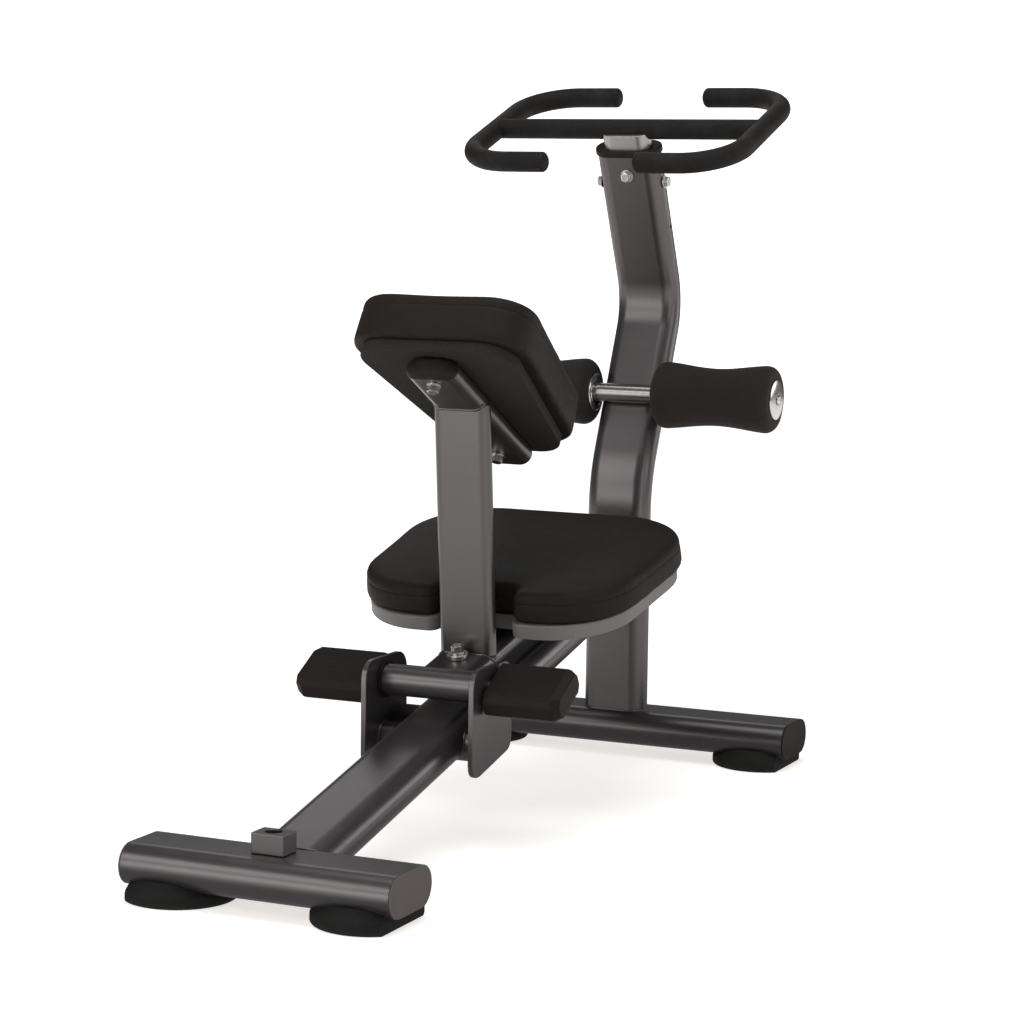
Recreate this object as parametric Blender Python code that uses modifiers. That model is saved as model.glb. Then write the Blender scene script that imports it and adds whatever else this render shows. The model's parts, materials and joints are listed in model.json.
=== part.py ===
"""Stretching machine: a kneeling seat and an upper pad that rock on a floor frame with a handlebar.

Units are metres and +Z is up. The user faces +Y, so their left is at -X. A size named FORWARD is a
distance along Y from the rear crossbar's centre line. The pieces are made in that frame, and one
empty then carries the whole machine to its place, with the origin under the middle of its box.
"""
import math

import bmesh
import bpy
from mathutils import Matrix, Vector

# Clearances
GAP = 0.0003
PLUG_GAP = 0.0004
RUNNING_GAP = 0.0005

# Frame tube: flat sides joined by half-round edges
TUBE_FLAT = 0.067
TUBE_HEIGHT = 0.0598
TUBE_WALL = 0.003

# Crossbars and their end caps
REAR_BAR_LENGTH = 0.425
FRONT_BAR_LENGTH = 0.660
BAR_SPACING = 1.2485
BAR_UNDERSIDE = 0.0188
CAP_THICKNESS = 0.003
CAP_PLUG = 0.012
CAP_EDGE = 0.0008

# Rubber feet
FOOT_RADIUS = 0.083
FOOT_EDGE_HEIGHT = 0.016
FOOT_TOP_RADIUS = 0.064
FOOT_HEIGHT = 0.034
FOOT_ROUNDING = 0.002
FOOT_FLAT_SIDE = 0.049
FOOT_INSET = 0.0625

# Main rail
SLOPE = math.radians(13.0)
RAIL_FLAT = 0.0595
RAIL_TOP_OVER_REAR_BAR = 0.0700
RAIL_START = 0.0
RAIL_HEEL = 0.0115
RAIL_IN_UPRIGHT = 0.012

# Block with a socket on the rear crossbar
BLOCK_WIDTH = 0.052
BLOCK_DEPTH = 0.038
BLOCK_HEIGHT = 0.030
BLOCK_EDGE = 0.002
SOCKET_RADIUS = 0.0122
SOCKET_DEPTH = 0.024

# Upright
UPRIGHT_FLAT = 0.0626
UPRIGHT_DEPTH = 0.052
UPRIGHT_WALL = 0.003
UPRIGHT_BEHIND_BAR = 0.0135
UPRIGHT_SADDLE = 0.004
LOWER_BEND_HEIGHT = 0.480
UPPER_BEND_HEIGHT = 0.792
UPRIGHT_TOP_HEIGHT = 1.0575
LEAN_FORWARD = math.radians(23.5)
LEAN_BACK = math.radians(24.3)
LOWER_BEND_RADIUS = 0.25
UPPER_BEND_RADIUS = 0.12
CABLE_HOLE_RADIUS = 0.0036
CABLE_HOLE_DROP = 0.141

# Leg rollers
AXLE_HEIGHT = 0.636
AXLE_RADIUS = 0.0165
AXLE_BORE = 0.0048
AXLE_LENGTH = 0.550
ROLLER_START = 0.062
ROLLER_LENGTH = 0.2165
ROLLER_RADIUS = 0.0590
ROLLER_WAIST = 0.0500
ROLLER_BORE = 0.024
ROLLER_ROUNDING = 0.018
FOAM_STEPS = 14
HUB_RADIUS = 0.033
HUB_FLANGE = 0.006
HUB_SLEEVE = 0.030
END_CAP_RADIUS = 0.0345
END_CAP_DOME = 0.0035
AXLE_BOLT_RADIUS = 0.009
AXLE_BOLT_HEIGHT = 0.0042

# Rocking bracket
PIVOT_FORWARD = 0.503
PIVOT_HEIGHT = 0.236
PLATE_OUTSIDE = 0.095
PLATE_THICKNESS = 0.0085
PLATE_REAR = 0.437
PLATE_FRONT = 0.5775
PLATE_TOP = 0.2715
PLATE_BELOW_RAIL = 0.0080
PLATE_TOP_CORNER = 0.028
PLATE_LOW_CORNER = 0.020
PLATE_EDGE = 0.0008
WEB_FORWARD = 0.560
WEB_THICKNESS = 0.006
WEB_LOW = 0.132
WEB_TOP = 0.1875
CROSS_TUBE_RADIUS = 0.0245
CROSS_TUBE_WALL = 0.004
STUB_DROP = 0.091
STUB_START = 0.048
SHAFT_RADIUS = 0.012
SHAFT_EDGE = 0.001
BUSHING_FLANGE = 0.004
BUSHING_SLEEVE = 0.020
BUSHING_RADIUS = 0.0285

# Foot grips
GRIP_START = 0.1005
GRIP_END = 0.2235
GRIP_WIDTH = 0.098
GRIP_THICKNESS = 0.042
GRIP_TILT = math.radians(29.0)
GRIP_CHAMFER = 0.0108
GRIP_ROUNDING = 0.006
GRIP_TAPER = 0.013
GRIP_END_SCALE = 0.80
GRIP_WALL = 0.018

# Tube of the rocking frame
SEAT_TUBE_FLAT = 0.061
SEAT_TUBE_DEPTH = 0.032
SEAT_TUBE_WALL = 0.0025
BEAM_RISE = 0.0265
BEAM_FRONT_FORWARD = 1.0
BUMPER_RADIUS = 0.025
BUMPER_TAPER = 0.001
BUMPER_ROUNDING = 0.003
BUMPER_FORWARD = 0.950
BEAM_BOLT_FORWARD = 0.5815
BEAM_SPACER_RADIUS = 0.0165
BEAM_SPACER_HEIGHT = 0.0075

# Kneeling seat: a shell with a cushion
SEAT_FORWARD = 0.8283
SEAT_LENGTH = 0.3963
SEAT_REAR_WIDTH = 0.4414
SEAT_FRONT_WIDTH = 0.4812
SEAT_REAR_CORNER = 0.122
SEAT_FRONT_CORNER = 0.132
SEAT_ABOVE_BEAM = 0.0150
SHELL_HEIGHT = 0.0241
SHELL_WALL = 0.004
SHELL_EDGE = 0.003
NOTCH_WIDTH = 0.126
NOTCH_DEPTH = 0.035
NOTCH_CORNER = 0.014
NOTCH_LIP = 0.018
SEAT_CUSHION_OVERHANG = 0.001
SEAT_CUSHION_HEIGHT = 0.0520
SEAT_CROWN = 0.005
SEAT_EDGE = 0.018
MOUNT_LENGTH = 0.260
MOUNT_WIDTH = 0.040
MOUNT_SPACING = 0.180
MOUNT_EDGE = 0.002

# Post
POST_FORWARD = 0.620
POST_LEAN = math.radians(4.8)
POST_SADDLE = 0.004

# Upper pad and its tube
PAD_SLOPE = math.radians(28.3)
PAD_FORWARD = 0.629
PAD_UNDERSIDE = 0.6765
PAD_LENGTH = 0.394
PAD_REAR_WIDTH = 0.294
PAD_FRONT_WIDTH = 0.197
PAD_REAR_CORNER = 0.064
PAD_FRONT_CORNER = 0.062
PAD_HEIGHT = 0.0785
PAD_CROWN = 0.005
PAD_EDGE = 0.014
DRAWN_IN = 0.3
BOARD_THICKNESS = 0.0175
BOARD_INSET = 0.010
BOARD_EDGE = 0.002
PAD_TUBE_FLAT = 0.0545
PAD_TUBE_REAR = -0.151
PAD_TUBE_FRONT = 0.1605
PAD_CAP_DOME = 0.018
PAD_BOLT_REAR = -0.134
PAD_BOLT_FRONT = 0.1295

# Handlebar
BAR_RADIUS = 0.0175
BAR_WALL = 0.002
BAR_ABOVE_UPRIGHT = 0.0391
BAR_AHEAD_OF_STEM = 0.00487
HANDLE_TILT = math.radians(20.0)
HANDLE_REACH = 0.2475
HANDLE_DEPTH = 0.348
HANDLE_BEND = 0.090
HANDLE_END = 0.078
HANDLE_PLUG = 0.014
HANDLE_DOME = 0.010
STEM_FLAT = 0.045
STEM_DEPTH = 0.042
STEM_WALL = 0.0025
STEM_INSERTION = 0.070
STEM_ABOVE_UPRIGHT = 0.0345
COLLAR_HEIGHT = 0.0115
COLLAR_OVERHANG = 0.0032
COLLAR_SLEEVE = 0.018
COLLAR_EDGE = 0.002
REAR_BOLT_DROP = 0.034
SIDE_BOLT_DROP = 0.0555

# Hexagon bolts with washers
BOLT_ACROSS = 0.017
BOLT_HEAD = 0.0075
BOLT_SHANK = 0.0042
BOLT_REACH = 0.010
WASHER_RADIUS = 0.0115
WASHER_THICKNESS = 0.0016
TALL_HEAD = 0.0105
TALL_WASHER = 0.0035
SHANK_SIDES = 8

# Facets: how far a flat facet may lie inside its true curve, and the fewest round a full turn
FACET_SAG = 0.0005
FEWEST_FACETS = 16
DOME_STEPS = 4
OVERLAP = 0.001
OVERSHOOT = 0.010

# Places worked out from the sizes above
BAR_CENTRE = BAR_UNDERSIDE + TUBE_HEIGHT / 2
BAR_TOP = BAR_UNDERSIDE + TUBE_HEIGHT
UPRIGHT_FORWARD = BAR_SPACING - UPRIGHT_BEHIND_BAR
PLATE_INSIDE = PLATE_OUTSIDE - PLATE_THICKNESS
BEAM_TOP_RISE = BEAM_RISE + SEAT_TUBE_DEPTH
SIDE_VIEW = (math.pi / 2, 0.0, math.pi / 2)
QUARTER = math.pi / 2

# Looks: base colour, roughness and metallic value
LOOKS = {
    "graphite": ((0.105, 0.098, 0.105), 0.38, 0.75),
    "cap_grey": ((0.150, 0.140, 0.140), 0.50, 0.0),
    "black_plastic": ((0.012, 0.012, 0.013), 0.45, 0.0),
    "bar_black": ((0.020, 0.018, 0.016), 0.62, 0.0),
    "rubber": ((0.016, 0.015, 0.015), 0.80, 0.0),
    "vinyl": ((0.016, 0.014, 0.013), 0.48, 0.0),
    "foam": ((0.020, 0.019, 0.018), 0.90, 0.0),
    "shell_grey": ((0.235, 0.225, 0.225), 0.50, 0.0),
    "board": ((0.030, 0.026, 0.022), 0.70, 0.0),
    "chrome": ((0.78, 0.78, 0.79), 0.10, 1.0),
    "zinc": ((0.62, 0.62, 0.63), 0.28, 1.0),
    "silver": ((0.62, 0.61, 0.61), 0.35, 0.85),
    "steel": ((0.45, 0.45, 0.46), 0.30, 1.0),
}


# Scene and objects


def clear_scene():
    for item in list(bpy.data.objects):
        bpy.data.objects.remove(item, do_unlink=True)


def add_collection(name):
    made = bpy.data.collections.new(name)
    bpy.context.scene.collection.children.link(made)
    return made


def add_object(name, data):
    item = bpy.data.objects.new(name, data)
    bpy.data.collections["stretching_machine"].objects.link(item)
    return item


def store_cutter(item):
    bpy.data.collections["stretching_machine"].objects.unlink(item)
    bpy.data.collections["cutters"].objects.link(item)
    item.hide_render = True
    item.display_type = "WIRE"


def place(item, location, rotation=(0.0, 0.0, 0.0)):
    item.location = location
    item.rotation_euler = rotation
    return item


def as_mesh(item):
    """The piece with its modifiers applied and its coincident points welded, under the same name."""
    bpy.context.view_layer.update()
    graph = bpy.context.evaluated_depsgraph_get()
    mesh = bpy.data.meshes.new_from_object(item.evaluated_get(graph))
    work = bmesh.new()
    work.from_mesh(mesh)
    bmesh.ops.remove_doubles(work, verts=work.verts, dist=0.00001)
    bmesh.ops.recalc_face_normals(work, faces=work.faces)
    work.to_mesh(mesh)
    work.free()
    name = item.name
    matrix = item.matrix_world.copy()
    bpy.data.objects.remove(item, do_unlink=True)
    made = add_object(name, mesh)
    made.matrix_world = matrix
    return made


def combine(item, others, operation):
    for other in others:
        boolean = item.modifiers.new(operation.lower(), "BOOLEAN")
        boolean.operation = operation
        boolean.solver = "EXACT"
        boolean.object = other
        if other.name in bpy.data.collections["stretching_machine"].objects:
            store_cutter(other)
    return as_mesh(item)


def cut(item, *cutters):
    return combine(item, cutters, "DIFFERENCE")


def join(item, *others):
    return combine(item, others, "UNION")


def soften(item, width, segments=2):
    """Rounds the piece's sharp edges."""
    edge = item.modifiers.new("edge", "BEVEL")
    edge.width = width
    edge.segments = segments
    edge.limit_method = "ANGLE"
    edge.angle_limit = math.radians(30)
    return item


def finish(item, look):
    """Gives the piece its own material, and smooth shading between its sharp edges."""
    item = as_mesh(item)
    colour, roughness, metallic = LOOKS[look]
    made = bpy.data.materials.new(item.name)
    made.use_nodes = True
    shader = made.node_tree.nodes["Principled BSDF"]
    shader.inputs["Base Color"].default_value = (*colour, 1.0)
    shader.inputs["Roughness"].default_value = roughness
    shader.inputs["Metallic"].default_value = metallic
    made.diffuse_color = (*colour, 1.0)
    item.data.materials.clear()
    item.data.materials.append(made)
    item.data.shade_smooth()
    item.data.set_sharp_from_angle(angle=math.radians(32))
    return item


def attach(items, empty):
    """Parents the pieces to an empty and leaves them where they are."""
    bpy.context.view_layer.update()
    for item in items:
        item.parent = empty
        item.matrix_parent_inverse = empty.matrix_world.inverted()


# Directions and places in the side plane


def aim(angle):
    """Rotation that turns a piece's Z axis to this angle above +Y, in the side plane."""
    return (angle - QUARTER, 0.0, 0.0)


def along(angle):
    return Vector((0.0, math.cos(angle), math.sin(angle)))


def square_to(angle):
    return along(angle + QUARTER)


def over_rail(forward, rise):
    """Point at this forward distance, at this distance above the plane of the rail's top face."""
    height = RAIL_TOP_OVER_REAR_BAR + forward * math.tan(SLOPE) + rise / math.cos(SLOPE)
    return Vector((0.0, forward, height))


def upper_corner():
    """Where the two straight stretches of the upright's centre line would meet."""
    rise = UPPER_BEND_HEIGHT - LOWER_BEND_HEIGHT
    return Vector((0.0, UPRIGHT_FORWARD + rise * math.tan(LEAN_FORWARD), UPPER_BEND_HEIGHT))


def upright_top(drop, beside=0.0):
    """Point on the upper stretch, this far below the upright's end and this far to its front side."""
    reach = (UPRIGHT_TOP_HEIGHT - UPPER_BEND_HEIGHT) / math.cos(LEAN_BACK)
    direction = along(QUARTER + LEAN_BACK)
    return upper_corner() + direction * (reach - drop) - square_to(QUARTER + LEAN_BACK) * beside


def bar_place():
    """The middle of the handlebar, over the upright's end."""
    return upright_top(-BAR_ABOVE_UPRIGHT / math.cos(LEAN_BACK)) + Vector((0.0, BAR_AHEAD_OF_STEM, 0.0))


def machine_front():
    """How far forward the handles reach."""
    return bar_place().y + HANDLE_DEPTH / 2 * math.cos(HANDLE_TILT) + BAR_RADIUS


def axle_place():
    """The axle rests against the rear face of the upright's middle stretch."""
    height = AXLE_HEIGHT - LOWER_BEND_HEIGHT
    centre = UPRIGHT_FORWARD + height * math.tan(LEAN_FORWARD)
    away = (UPRIGHT_DEPTH / 2 + AXLE_RADIUS + GAP) / math.cos(LEAN_FORWARD)
    return Vector((0.0, centre - away, AXLE_HEIGHT))


def under_pad(along_pad, drop):
    """Point this far down the pad's slope from its middle, and this far below its cushion."""
    middle = Vector((0.0, PAD_FORWARD, PAD_UNDERSIDE))
    return middle + along(-PAD_SLOPE) * along_pad - square_to(-PAD_SLOPE) * drop


# Outlines


def facets(radius, turn=math.tau):
    """How many facets make this much of a turn."""
    close = turn / (2 * math.acos(1 - FACET_SAG / radius))
    return math.ceil(max(close, FEWEST_FACETS * turn / math.tau))


def arc(corner, before, after, radius):
    """Points of the arc that rounds a corner between two unit directions that leave it."""
    half = before.angle(after) / 2
    centre = corner + (before + after).normalized() * (radius / math.sin(half))
    first = corner + before * (radius / math.tan(half)) - centre
    last = corner + after * (radius / math.tan(half)) - centre
    turn = math.atan2(first.x * last.y - first.y * last.x, first.dot(last))
    steps = facets(radius, abs(turn))
    return [tuple(centre + Matrix.Rotation(turn * step / steps, 2) @ first) for step in range(steps + 1)]


def rounded(corners):
    """Closed outline through corners (x, y, radius)."""
    points = []
    for index, (x, y, radius) in enumerate(corners):
        here = Vector((x, y))
        before = (Vector(corners[index - 1][:2]) - here).normalized()
        after = (Vector(corners[(index + 1) % len(corners)][:2]) - here).normalized()
        points.extend(arc(here, before, after, radius) if radius else [tuple(here)])
    return points


def bent(corners):
    """Open path through corners (x, y, radius), of which the first and last are its ends."""
    points = [corners[0][:2]]
    for last, (x, y, radius), following in zip(corners, corners[1:], corners[2:]):
        here = Vector((x, y))
        before = (Vector(last[:2]) - here).normalized()
        after = (Vector(following[:2]) - here).normalized()
        points.extend(arc(here, before, after, radius))
    points.append(corners[-1][:2])
    return points


def circle(radius):
    turns = [math.tau * step / FEWEST_FACETS for step in range(FEWEST_FACETS)]
    return [(radius * math.cos(turn), radius * math.sin(turn)) for turn in turns]


def flat_oval(flat, depth, inset=0.0):
    """Section of a tube with flats along X and half-round edges at both ends."""
    radius = depth / 2 - inset
    steps = facets(depth / 2, math.pi)
    points = []
    for side in (1, -1):
        for step in range(steps + 1):
            angle = side * QUARTER - math.pi * step / steps
            points.append((side * flat / 2 + radius * math.cos(angle), radius * math.sin(angle)))
    return points


def tapered(rear, front, length, rear_corner, front_corner):
    """Outline of a pad whose length is along Y."""
    return rounded([
        (-rear / 2, -length / 2, rear_corner),
        (rear / 2, -length / 2, rear_corner),
        (front / 2, length / 2, front_corner),
        (-front / 2, length / 2, front_corner),
    ])


def seat_outline(inset):
    """Outline of the seat with its notch for the post, moved inward all round."""
    rear = SEAT_REAR_WIDTH / 2 - inset
    front = SEAT_FRONT_WIDTH / 2 - inset
    end = SEAT_LENGTH / 2 - inset
    notch = NOTCH_WIDTH / 2 + inset
    return rounded([
        (-rear, -end, SEAT_REAR_CORNER - inset),
        (-notch, -end, NOTCH_LIP - inset),
        (-notch, -end + NOTCH_DEPTH, NOTCH_CORNER + inset),
        (notch, -end + NOTCH_DEPTH, NOTCH_CORNER + inset),
        (notch, -end, NOTCH_LIP - inset),
        (rear, -end, SEAT_REAR_CORNER - inset),
        (front, end, SEAT_FRONT_CORNER - inset),
        (-front, end, SEAT_FRONT_CORNER - inset),
    ])


def pad_outline(inset):
    return tapered(
        PAD_REAR_WIDTH - 2 * inset,
        PAD_FRONT_WIDTH - 2 * inset,
        PAD_LENGTH - 2 * inset,
        PAD_REAR_CORNER - inset,
        PAD_FRONT_CORNER - inset,
    )


# Solids


def add_spline(data, points, cyclic):
    spline = data.splines.new("POLY")
    spline.points.add(len(points) - 1)
    for point, (x, y) in zip(spline.points, points):
        point.co = (x, y, 0.0, 1.0)
    spline.use_cyclic_u = cyclic


def extruded(name, outlines, low, high):
    """A flat outline, with its holes, as a solid between two heights."""
    data = bpy.data.curves.new(name, "CURVE")
    data.dimensions = "2D"
    data.fill_mode = "BOTH"
    data.extrude = (high - low) / 2
    for outline in outlines:
        add_spline(data, outline, True)
    item = as_mesh(add_object(name, data))
    item.data.transform(Matrix.Translation((0.0, 0.0, (low + high) / 2)))
    return item


def tube(name, flat, depth, wall, length):
    return extruded(name, [flat_oval(flat, depth), flat_oval(flat, depth, wall)], -length / 2, length / 2)


def bar(name, flat, depth, length, inset=0.0):
    return extruded(name, [flat_oval(flat, depth, inset)], -length / 2, length / 2)


def swept(name, path, outline):
    """An outline carried along a path in the XY plane, with both ends closed."""
    section = bpy.data.curves.new(name + "_section", "CURVE")
    section.dimensions = "2D"
    section.fill_mode = "NONE"
    add_spline(section, outline, True)
    guide = add_object(name + "_section", section)
    data = bpy.data.curves.new(name, "CURVE")
    data.dimensions = "2D"
    data.fill_mode = "NONE"
    data.bevel_mode = "OBJECT"
    data.bevel_object = guide
    data.use_fill_caps = True
    add_spline(data, path, False)
    item = as_mesh(add_object(name, data))
    bpy.data.objects.remove(guide, do_unlink=True)
    return item


def rod(name, path, radius, sides=FEWEST_FACETS):
    """A round bar along a path in the XY plane, with closed ends."""
    data = bpy.data.curves.new(name, "CURVE")
    data.dimensions = "3D"
    data.bevel_depth = radius
    data.bevel_resolution = sides // 2 - 2
    data.use_fill_caps = True
    add_spline(data, path, False)
    return as_mesh(add_object(name, data))


def turned(name, profile, closed=False, sides=0):
    """A profile of (radius, height) points, listed down its outer side, turned about Z."""
    mesh = bpy.data.meshes.new(name)
    edges = [(index, index + 1) for index in range(len(profile) - 1)]
    if closed:
        edges.append((len(profile) - 1, 0))
    mesh.from_pydata([(radius, 0.0, height) for radius, height in profile], edges, [])
    item = add_object(name, mesh)
    screw = item.modifiers.new("turn", "SCREW")
    screw.steps = sides or facets(max(radius for radius, _ in profile))
    screw.render_steps = screw.steps
    screw.use_merge_vertices = True
    screw.merge_threshold = 0.0001
    return item


def pipe(name, radius, bore, low, high):
    return turned(name, [(radius, high), (radius, low), (bore, low), (bore, high)], True)


def cylinder(name, radius, low, high, sides=FEWEST_FACETS):
    mesh = bpy.data.meshes.new(name)
    work = bmesh.new()
    shift = Matrix.Translation((0.0, 0.0, (low + high) / 2))
    bmesh.ops.create_cone(
        work,
        cap_ends=True,
        segments=sides,
        radius1=radius,
        radius2=radius,
        depth=high - low,
        matrix=shift,
    )
    work.to_mesh(mesh)
    work.free()
    return add_object(name, mesh)


def block(name, width, length, low, high):
    mesh = bpy.data.meshes.new(name)
    work = bmesh.new()
    bmesh.ops.create_cube(work, size=1.0)
    bmesh.ops.scale(work, verts=work.verts, vec=(width, length, high - low))
    bmesh.ops.translate(work, verts=work.verts, vec=(0.0, 0.0, (low + high) / 2))
    work.to_mesh(mesh)
    work.free()
    return add_object(name, mesh)


def lofted(name, rings):
    """A closed skin over rings of points, each bridged to the next, with a face at both ends."""
    mesh = bpy.data.meshes.new(name)
    work = bmesh.new()
    loops = []
    for ring in rings:
        corners = [work.verts.new(point) for point in ring]
        loops.append([work.edges.new(pair) for pair in zip(corners, corners[1:] + corners[:1])])
    for lower, upper in zip(loops, loops[1:]):
        bmesh.ops.bridge_loops(work, edges=lower + upper)
    bmesh.ops.contextual_create(work, geom=loops[0])
    bmesh.ops.contextual_create(work, geom=loops[-1])
    bmesh.ops.recalc_face_normals(work, faces=work.faces)
    work.to_mesh(mesh)
    work.free()
    return add_object(name, mesh)


def cushion(name, outline, height, crown, edge):
    """A stuffed cushion on Z: drawn in at its base, round at its top edge and crowned to its middle."""
    shoulder = height - crown - edge
    levels = [(0.0, edge * DRAWN_IN), (shoulder * 0.6, 0.0)]
    for step in range(3):
        angle = QUARTER * step / 2
        levels.append((shoulder + edge * math.sin(angle), edge * (1 - math.cos(angle))))
    rings = [[(x, y, level) for x, y in outline(inset)] for level, inset in levels]
    for scale in (0.80, 0.50, 0.15):
        level = height - crown * scale ** 2
        rings.append([(x * scale, y * scale, level) for x, y in outline(edge)])
    return lofted(name, rings)


def bolt(name, reach=BOLT_REACH, head_height=BOLT_HEAD, washer_height=WASHER_THICKNESS):
    """A hexagon head on a washer that rests at height 0, with a short shank below it."""
    corner = BOLT_ACROSS / math.sqrt(3)
    head = cylinder(name, corner, washer_height - OVERLAP, washer_height + head_height, 6)
    washer = cylinder(name + "_washer", WASHER_RADIUS, GAP, washer_height)
    shank = cylinder(name + "_shank", BOLT_SHANK, -reach, washer_height, SHANK_SIDES)
    return join(head, washer, shank)


def bolt_hole(name, reach=BOLT_REACH):
    return cylinder(name, BOLT_SHANK + 2 * GAP, -reach - OVERLAP, OVERSHOOT, SHANK_SIDES)


def tube_cap(name, flat, depth, wall):
    """A flange over a tube's end at height 0, with a plug that fills the tube below."""
    flange = extruded(name, [flat_oval(flat, depth)], GAP, GAP + CAP_THICKNESS)
    soften(flange, CAP_EDGE, 1)
    outline = flat_oval(flat, depth, wall + PLUG_GAP)
    return join(flange, extruded(name + "_plug", [outline], -CAP_PLUG, GAP + OVERLAP))


# Floor frame


def bar_cutter(name, length, forward):
    item = bar(name, TUBE_FLAT, TUBE_HEIGHT, length + OVERSHOOT, -GAP)
    place(item, (0.0, forward, BAR_CENTRE), SIDE_VIEW)
    store_cutter(item)
    return item


def foot(name, sign, across, forward, cutter):
    """A round rubber foot with a sloping shoulder round the bar and a flat outer side."""
    profile = [
        (0.0, FOOT_HEIGHT),
        (FOOT_TOP_RADIUS, FOOT_HEIGHT),
        (FOOT_RADIUS - FOOT_ROUNDING, FOOT_EDGE_HEIGHT),
        (FOOT_RADIUS, FOOT_EDGE_HEIGHT - FOOT_ROUNDING),
        (FOOT_RADIUS, FOOT_ROUNDING),
        (FOOT_RADIUS - FOOT_ROUNDING, 0.0),
        (0.0, 0.0),
    ]
    item = place(turned(name, profile), (across, forward, 0.0))
    trim = block(name + "_flat", FOOT_RADIUS, 3 * FOOT_RADIUS, -OVERSHOOT, FOOT_HEIGHT + OVERSHOOT)
    place(trim, (across + sign * (FOOT_FLAT_SIDE + FOOT_RADIUS / 2), forward, 0.0))
    return finish(cut(item, cutter, trim), "rubber")


def crossbar(end, length, forward, cap_look):
    """A crossbar with its two end caps and its two feet."""
    body = length - 2 * (CAP_THICKNESS + GAP)
    item = tube(end + "_crossbar", TUBE_FLAT, TUBE_HEIGHT, TUBE_WALL, body)
    place(item, (0.0, forward, BAR_CENTRE), SIDE_VIEW)
    made = [finish(item, "graphite")]
    cutter = bar_cutter(end + "_crossbar_cutter", length, forward)
    for side, sign in (("left", -1), ("right", 1)):
        cap = tube_cap(f"{end}_end_cap_{side}", TUBE_FLAT, TUBE_HEIGHT, TUBE_WALL)
        place(cap, (sign * body / 2, forward, BAR_CENTRE), (QUARTER, 0.0, sign * QUARTER))
        made.append(finish(cap, cap_look))
        across = sign * (length / 2 - FOOT_INSET)
        made.append(foot(f"{end}_foot_{side}", sign, across, forward, cutter))
    return made, cutter


def main_rail(rear_cutter):
    """The sloping rail: coped over the rear crossbar and butted on the upright's rear face."""
    end = UPRIGHT_FORWARD - UPRIGHT_DEPTH / 2 + RAIL_IN_UPRIGHT
    length = (end - RAIL_START) / math.cos(SLOPE)
    item = tube("main_rail", RAIL_FLAT, TUBE_HEIGHT, TUBE_WALL, length)
    place(item, over_rail((RAIL_START + end) / 2, -TUBE_HEIGHT / 2), aim(SLOPE))
    heel = TUBE_FLAT / 2 + RAIL_HEEL
    trim = block("rail_heel_cutter", 3 * TUBE_FLAT, 4 * heel, -BAR_CENTRE, BAR_CENTRE)
    place(trim, (0.0, -heel, 0.0))
    upright = bar("rail_end_cutter", UPRIGHT_FLAT, UPRIGHT_DEPTH, LOWER_BEND_HEIGHT, -GAP)
    place(upright, (0.0, UPRIGHT_FORWARD, LOWER_BEND_HEIGHT / 2))
    return finish(cut(item, rear_cutter, trim, upright), "graphite")


def socket_block():
    item = soften(block("socket_block", BLOCK_WIDTH, BLOCK_DEPTH, 0.0, BLOCK_HEIGHT), BLOCK_EDGE, 1)
    place(item, (0.0, 0.0, BAR_TOP + GAP))
    socket = cylinder("socket_cutter", SOCKET_RADIUS, BLOCK_HEIGHT - SOCKET_DEPTH, BLOCK_HEIGHT + OVERSHOOT)
    place(socket, (0.0, 0.0, BAR_TOP + GAP))
    return finish(cut(item, socket), "graphite")


def side_plate(side, sign, rail_cutter):
    """A bracket plate whose lower edge follows the rail, with a web from its inside to the rail."""
    lowest = PLATE_BELOW_RAIL + TUBE_HEIGHT
    rear_low = over_rail(PLATE_REAR, -lowest).z
    front_low = over_rail(PLATE_FRONT, -lowest).z
    outline = rounded([
        (PLATE_REAR - PIVOT_FORWARD, rear_low - PIVOT_HEIGHT, PLATE_LOW_CORNER),
        (PLATE_FRONT - PIVOT_FORWARD, front_low - PIVOT_HEIGHT, PLATE_LOW_CORNER),
        (PLATE_FRONT - PIVOT_FORWARD, PLATE_TOP - PIVOT_HEIGHT, PLATE_TOP_CORNER),
        (PLATE_REAR - PIVOT_FORWARD, PLATE_TOP - PIVOT_HEIGHT, PLATE_TOP_CORNER),
    ])
    half = PLATE_THICKNESS / 2
    item = extruded("side_plate_" + side, [outline, circle(SHAFT_RADIUS + GAP)], -half, half)
    place(item, (sign * (PLATE_OUTSIDE - half), PIVOT_FORWARD, PIVOT_HEIGHT), SIDE_VIEW)
    item = as_mesh(soften(item, PLATE_EDGE, 1))
    width = PLATE_OUTSIDE - half - RAIL_FLAT / 2
    web = block(f"web_{side}", width, WEB_THICKNESS, WEB_LOW, WEB_TOP)
    place(web, (sign * (RAIL_FLAT / 2 + width / 2), WEB_FORWARD, 0.0))
    return finish(join(item, cut(web, rail_cutter)), "graphite")


def stub_tube(side, sign, rail_cutter):
    """A short tube between the rail's side and a plate."""
    bore = CROSS_TUBE_RADIUS - CROSS_TUBE_WALL
    item = pipe("stub_tube_" + side, CROSS_TUBE_RADIUS, bore, STUB_START, PLATE_INSIDE - GAP)
    place(item, (0.0, PIVOT_FORWARD, PIVOT_HEIGHT - STUB_DROP), (0.0, sign * QUARTER, 0.0))
    return finish(cut(item, rail_cutter), "graphite")


def pivot_shaft():
    end = GRIP_END - GRIP_WALL
    item = cylinder("pivot_shaft", SHAFT_RADIUS, -end, end)
    place(item, (0.0, PIVOT_FORWARD, PIVOT_HEIGHT), (0.0, QUARTER, 0.0))
    return finish(soften(item, SHAFT_EDGE, 1), "steel")


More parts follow.
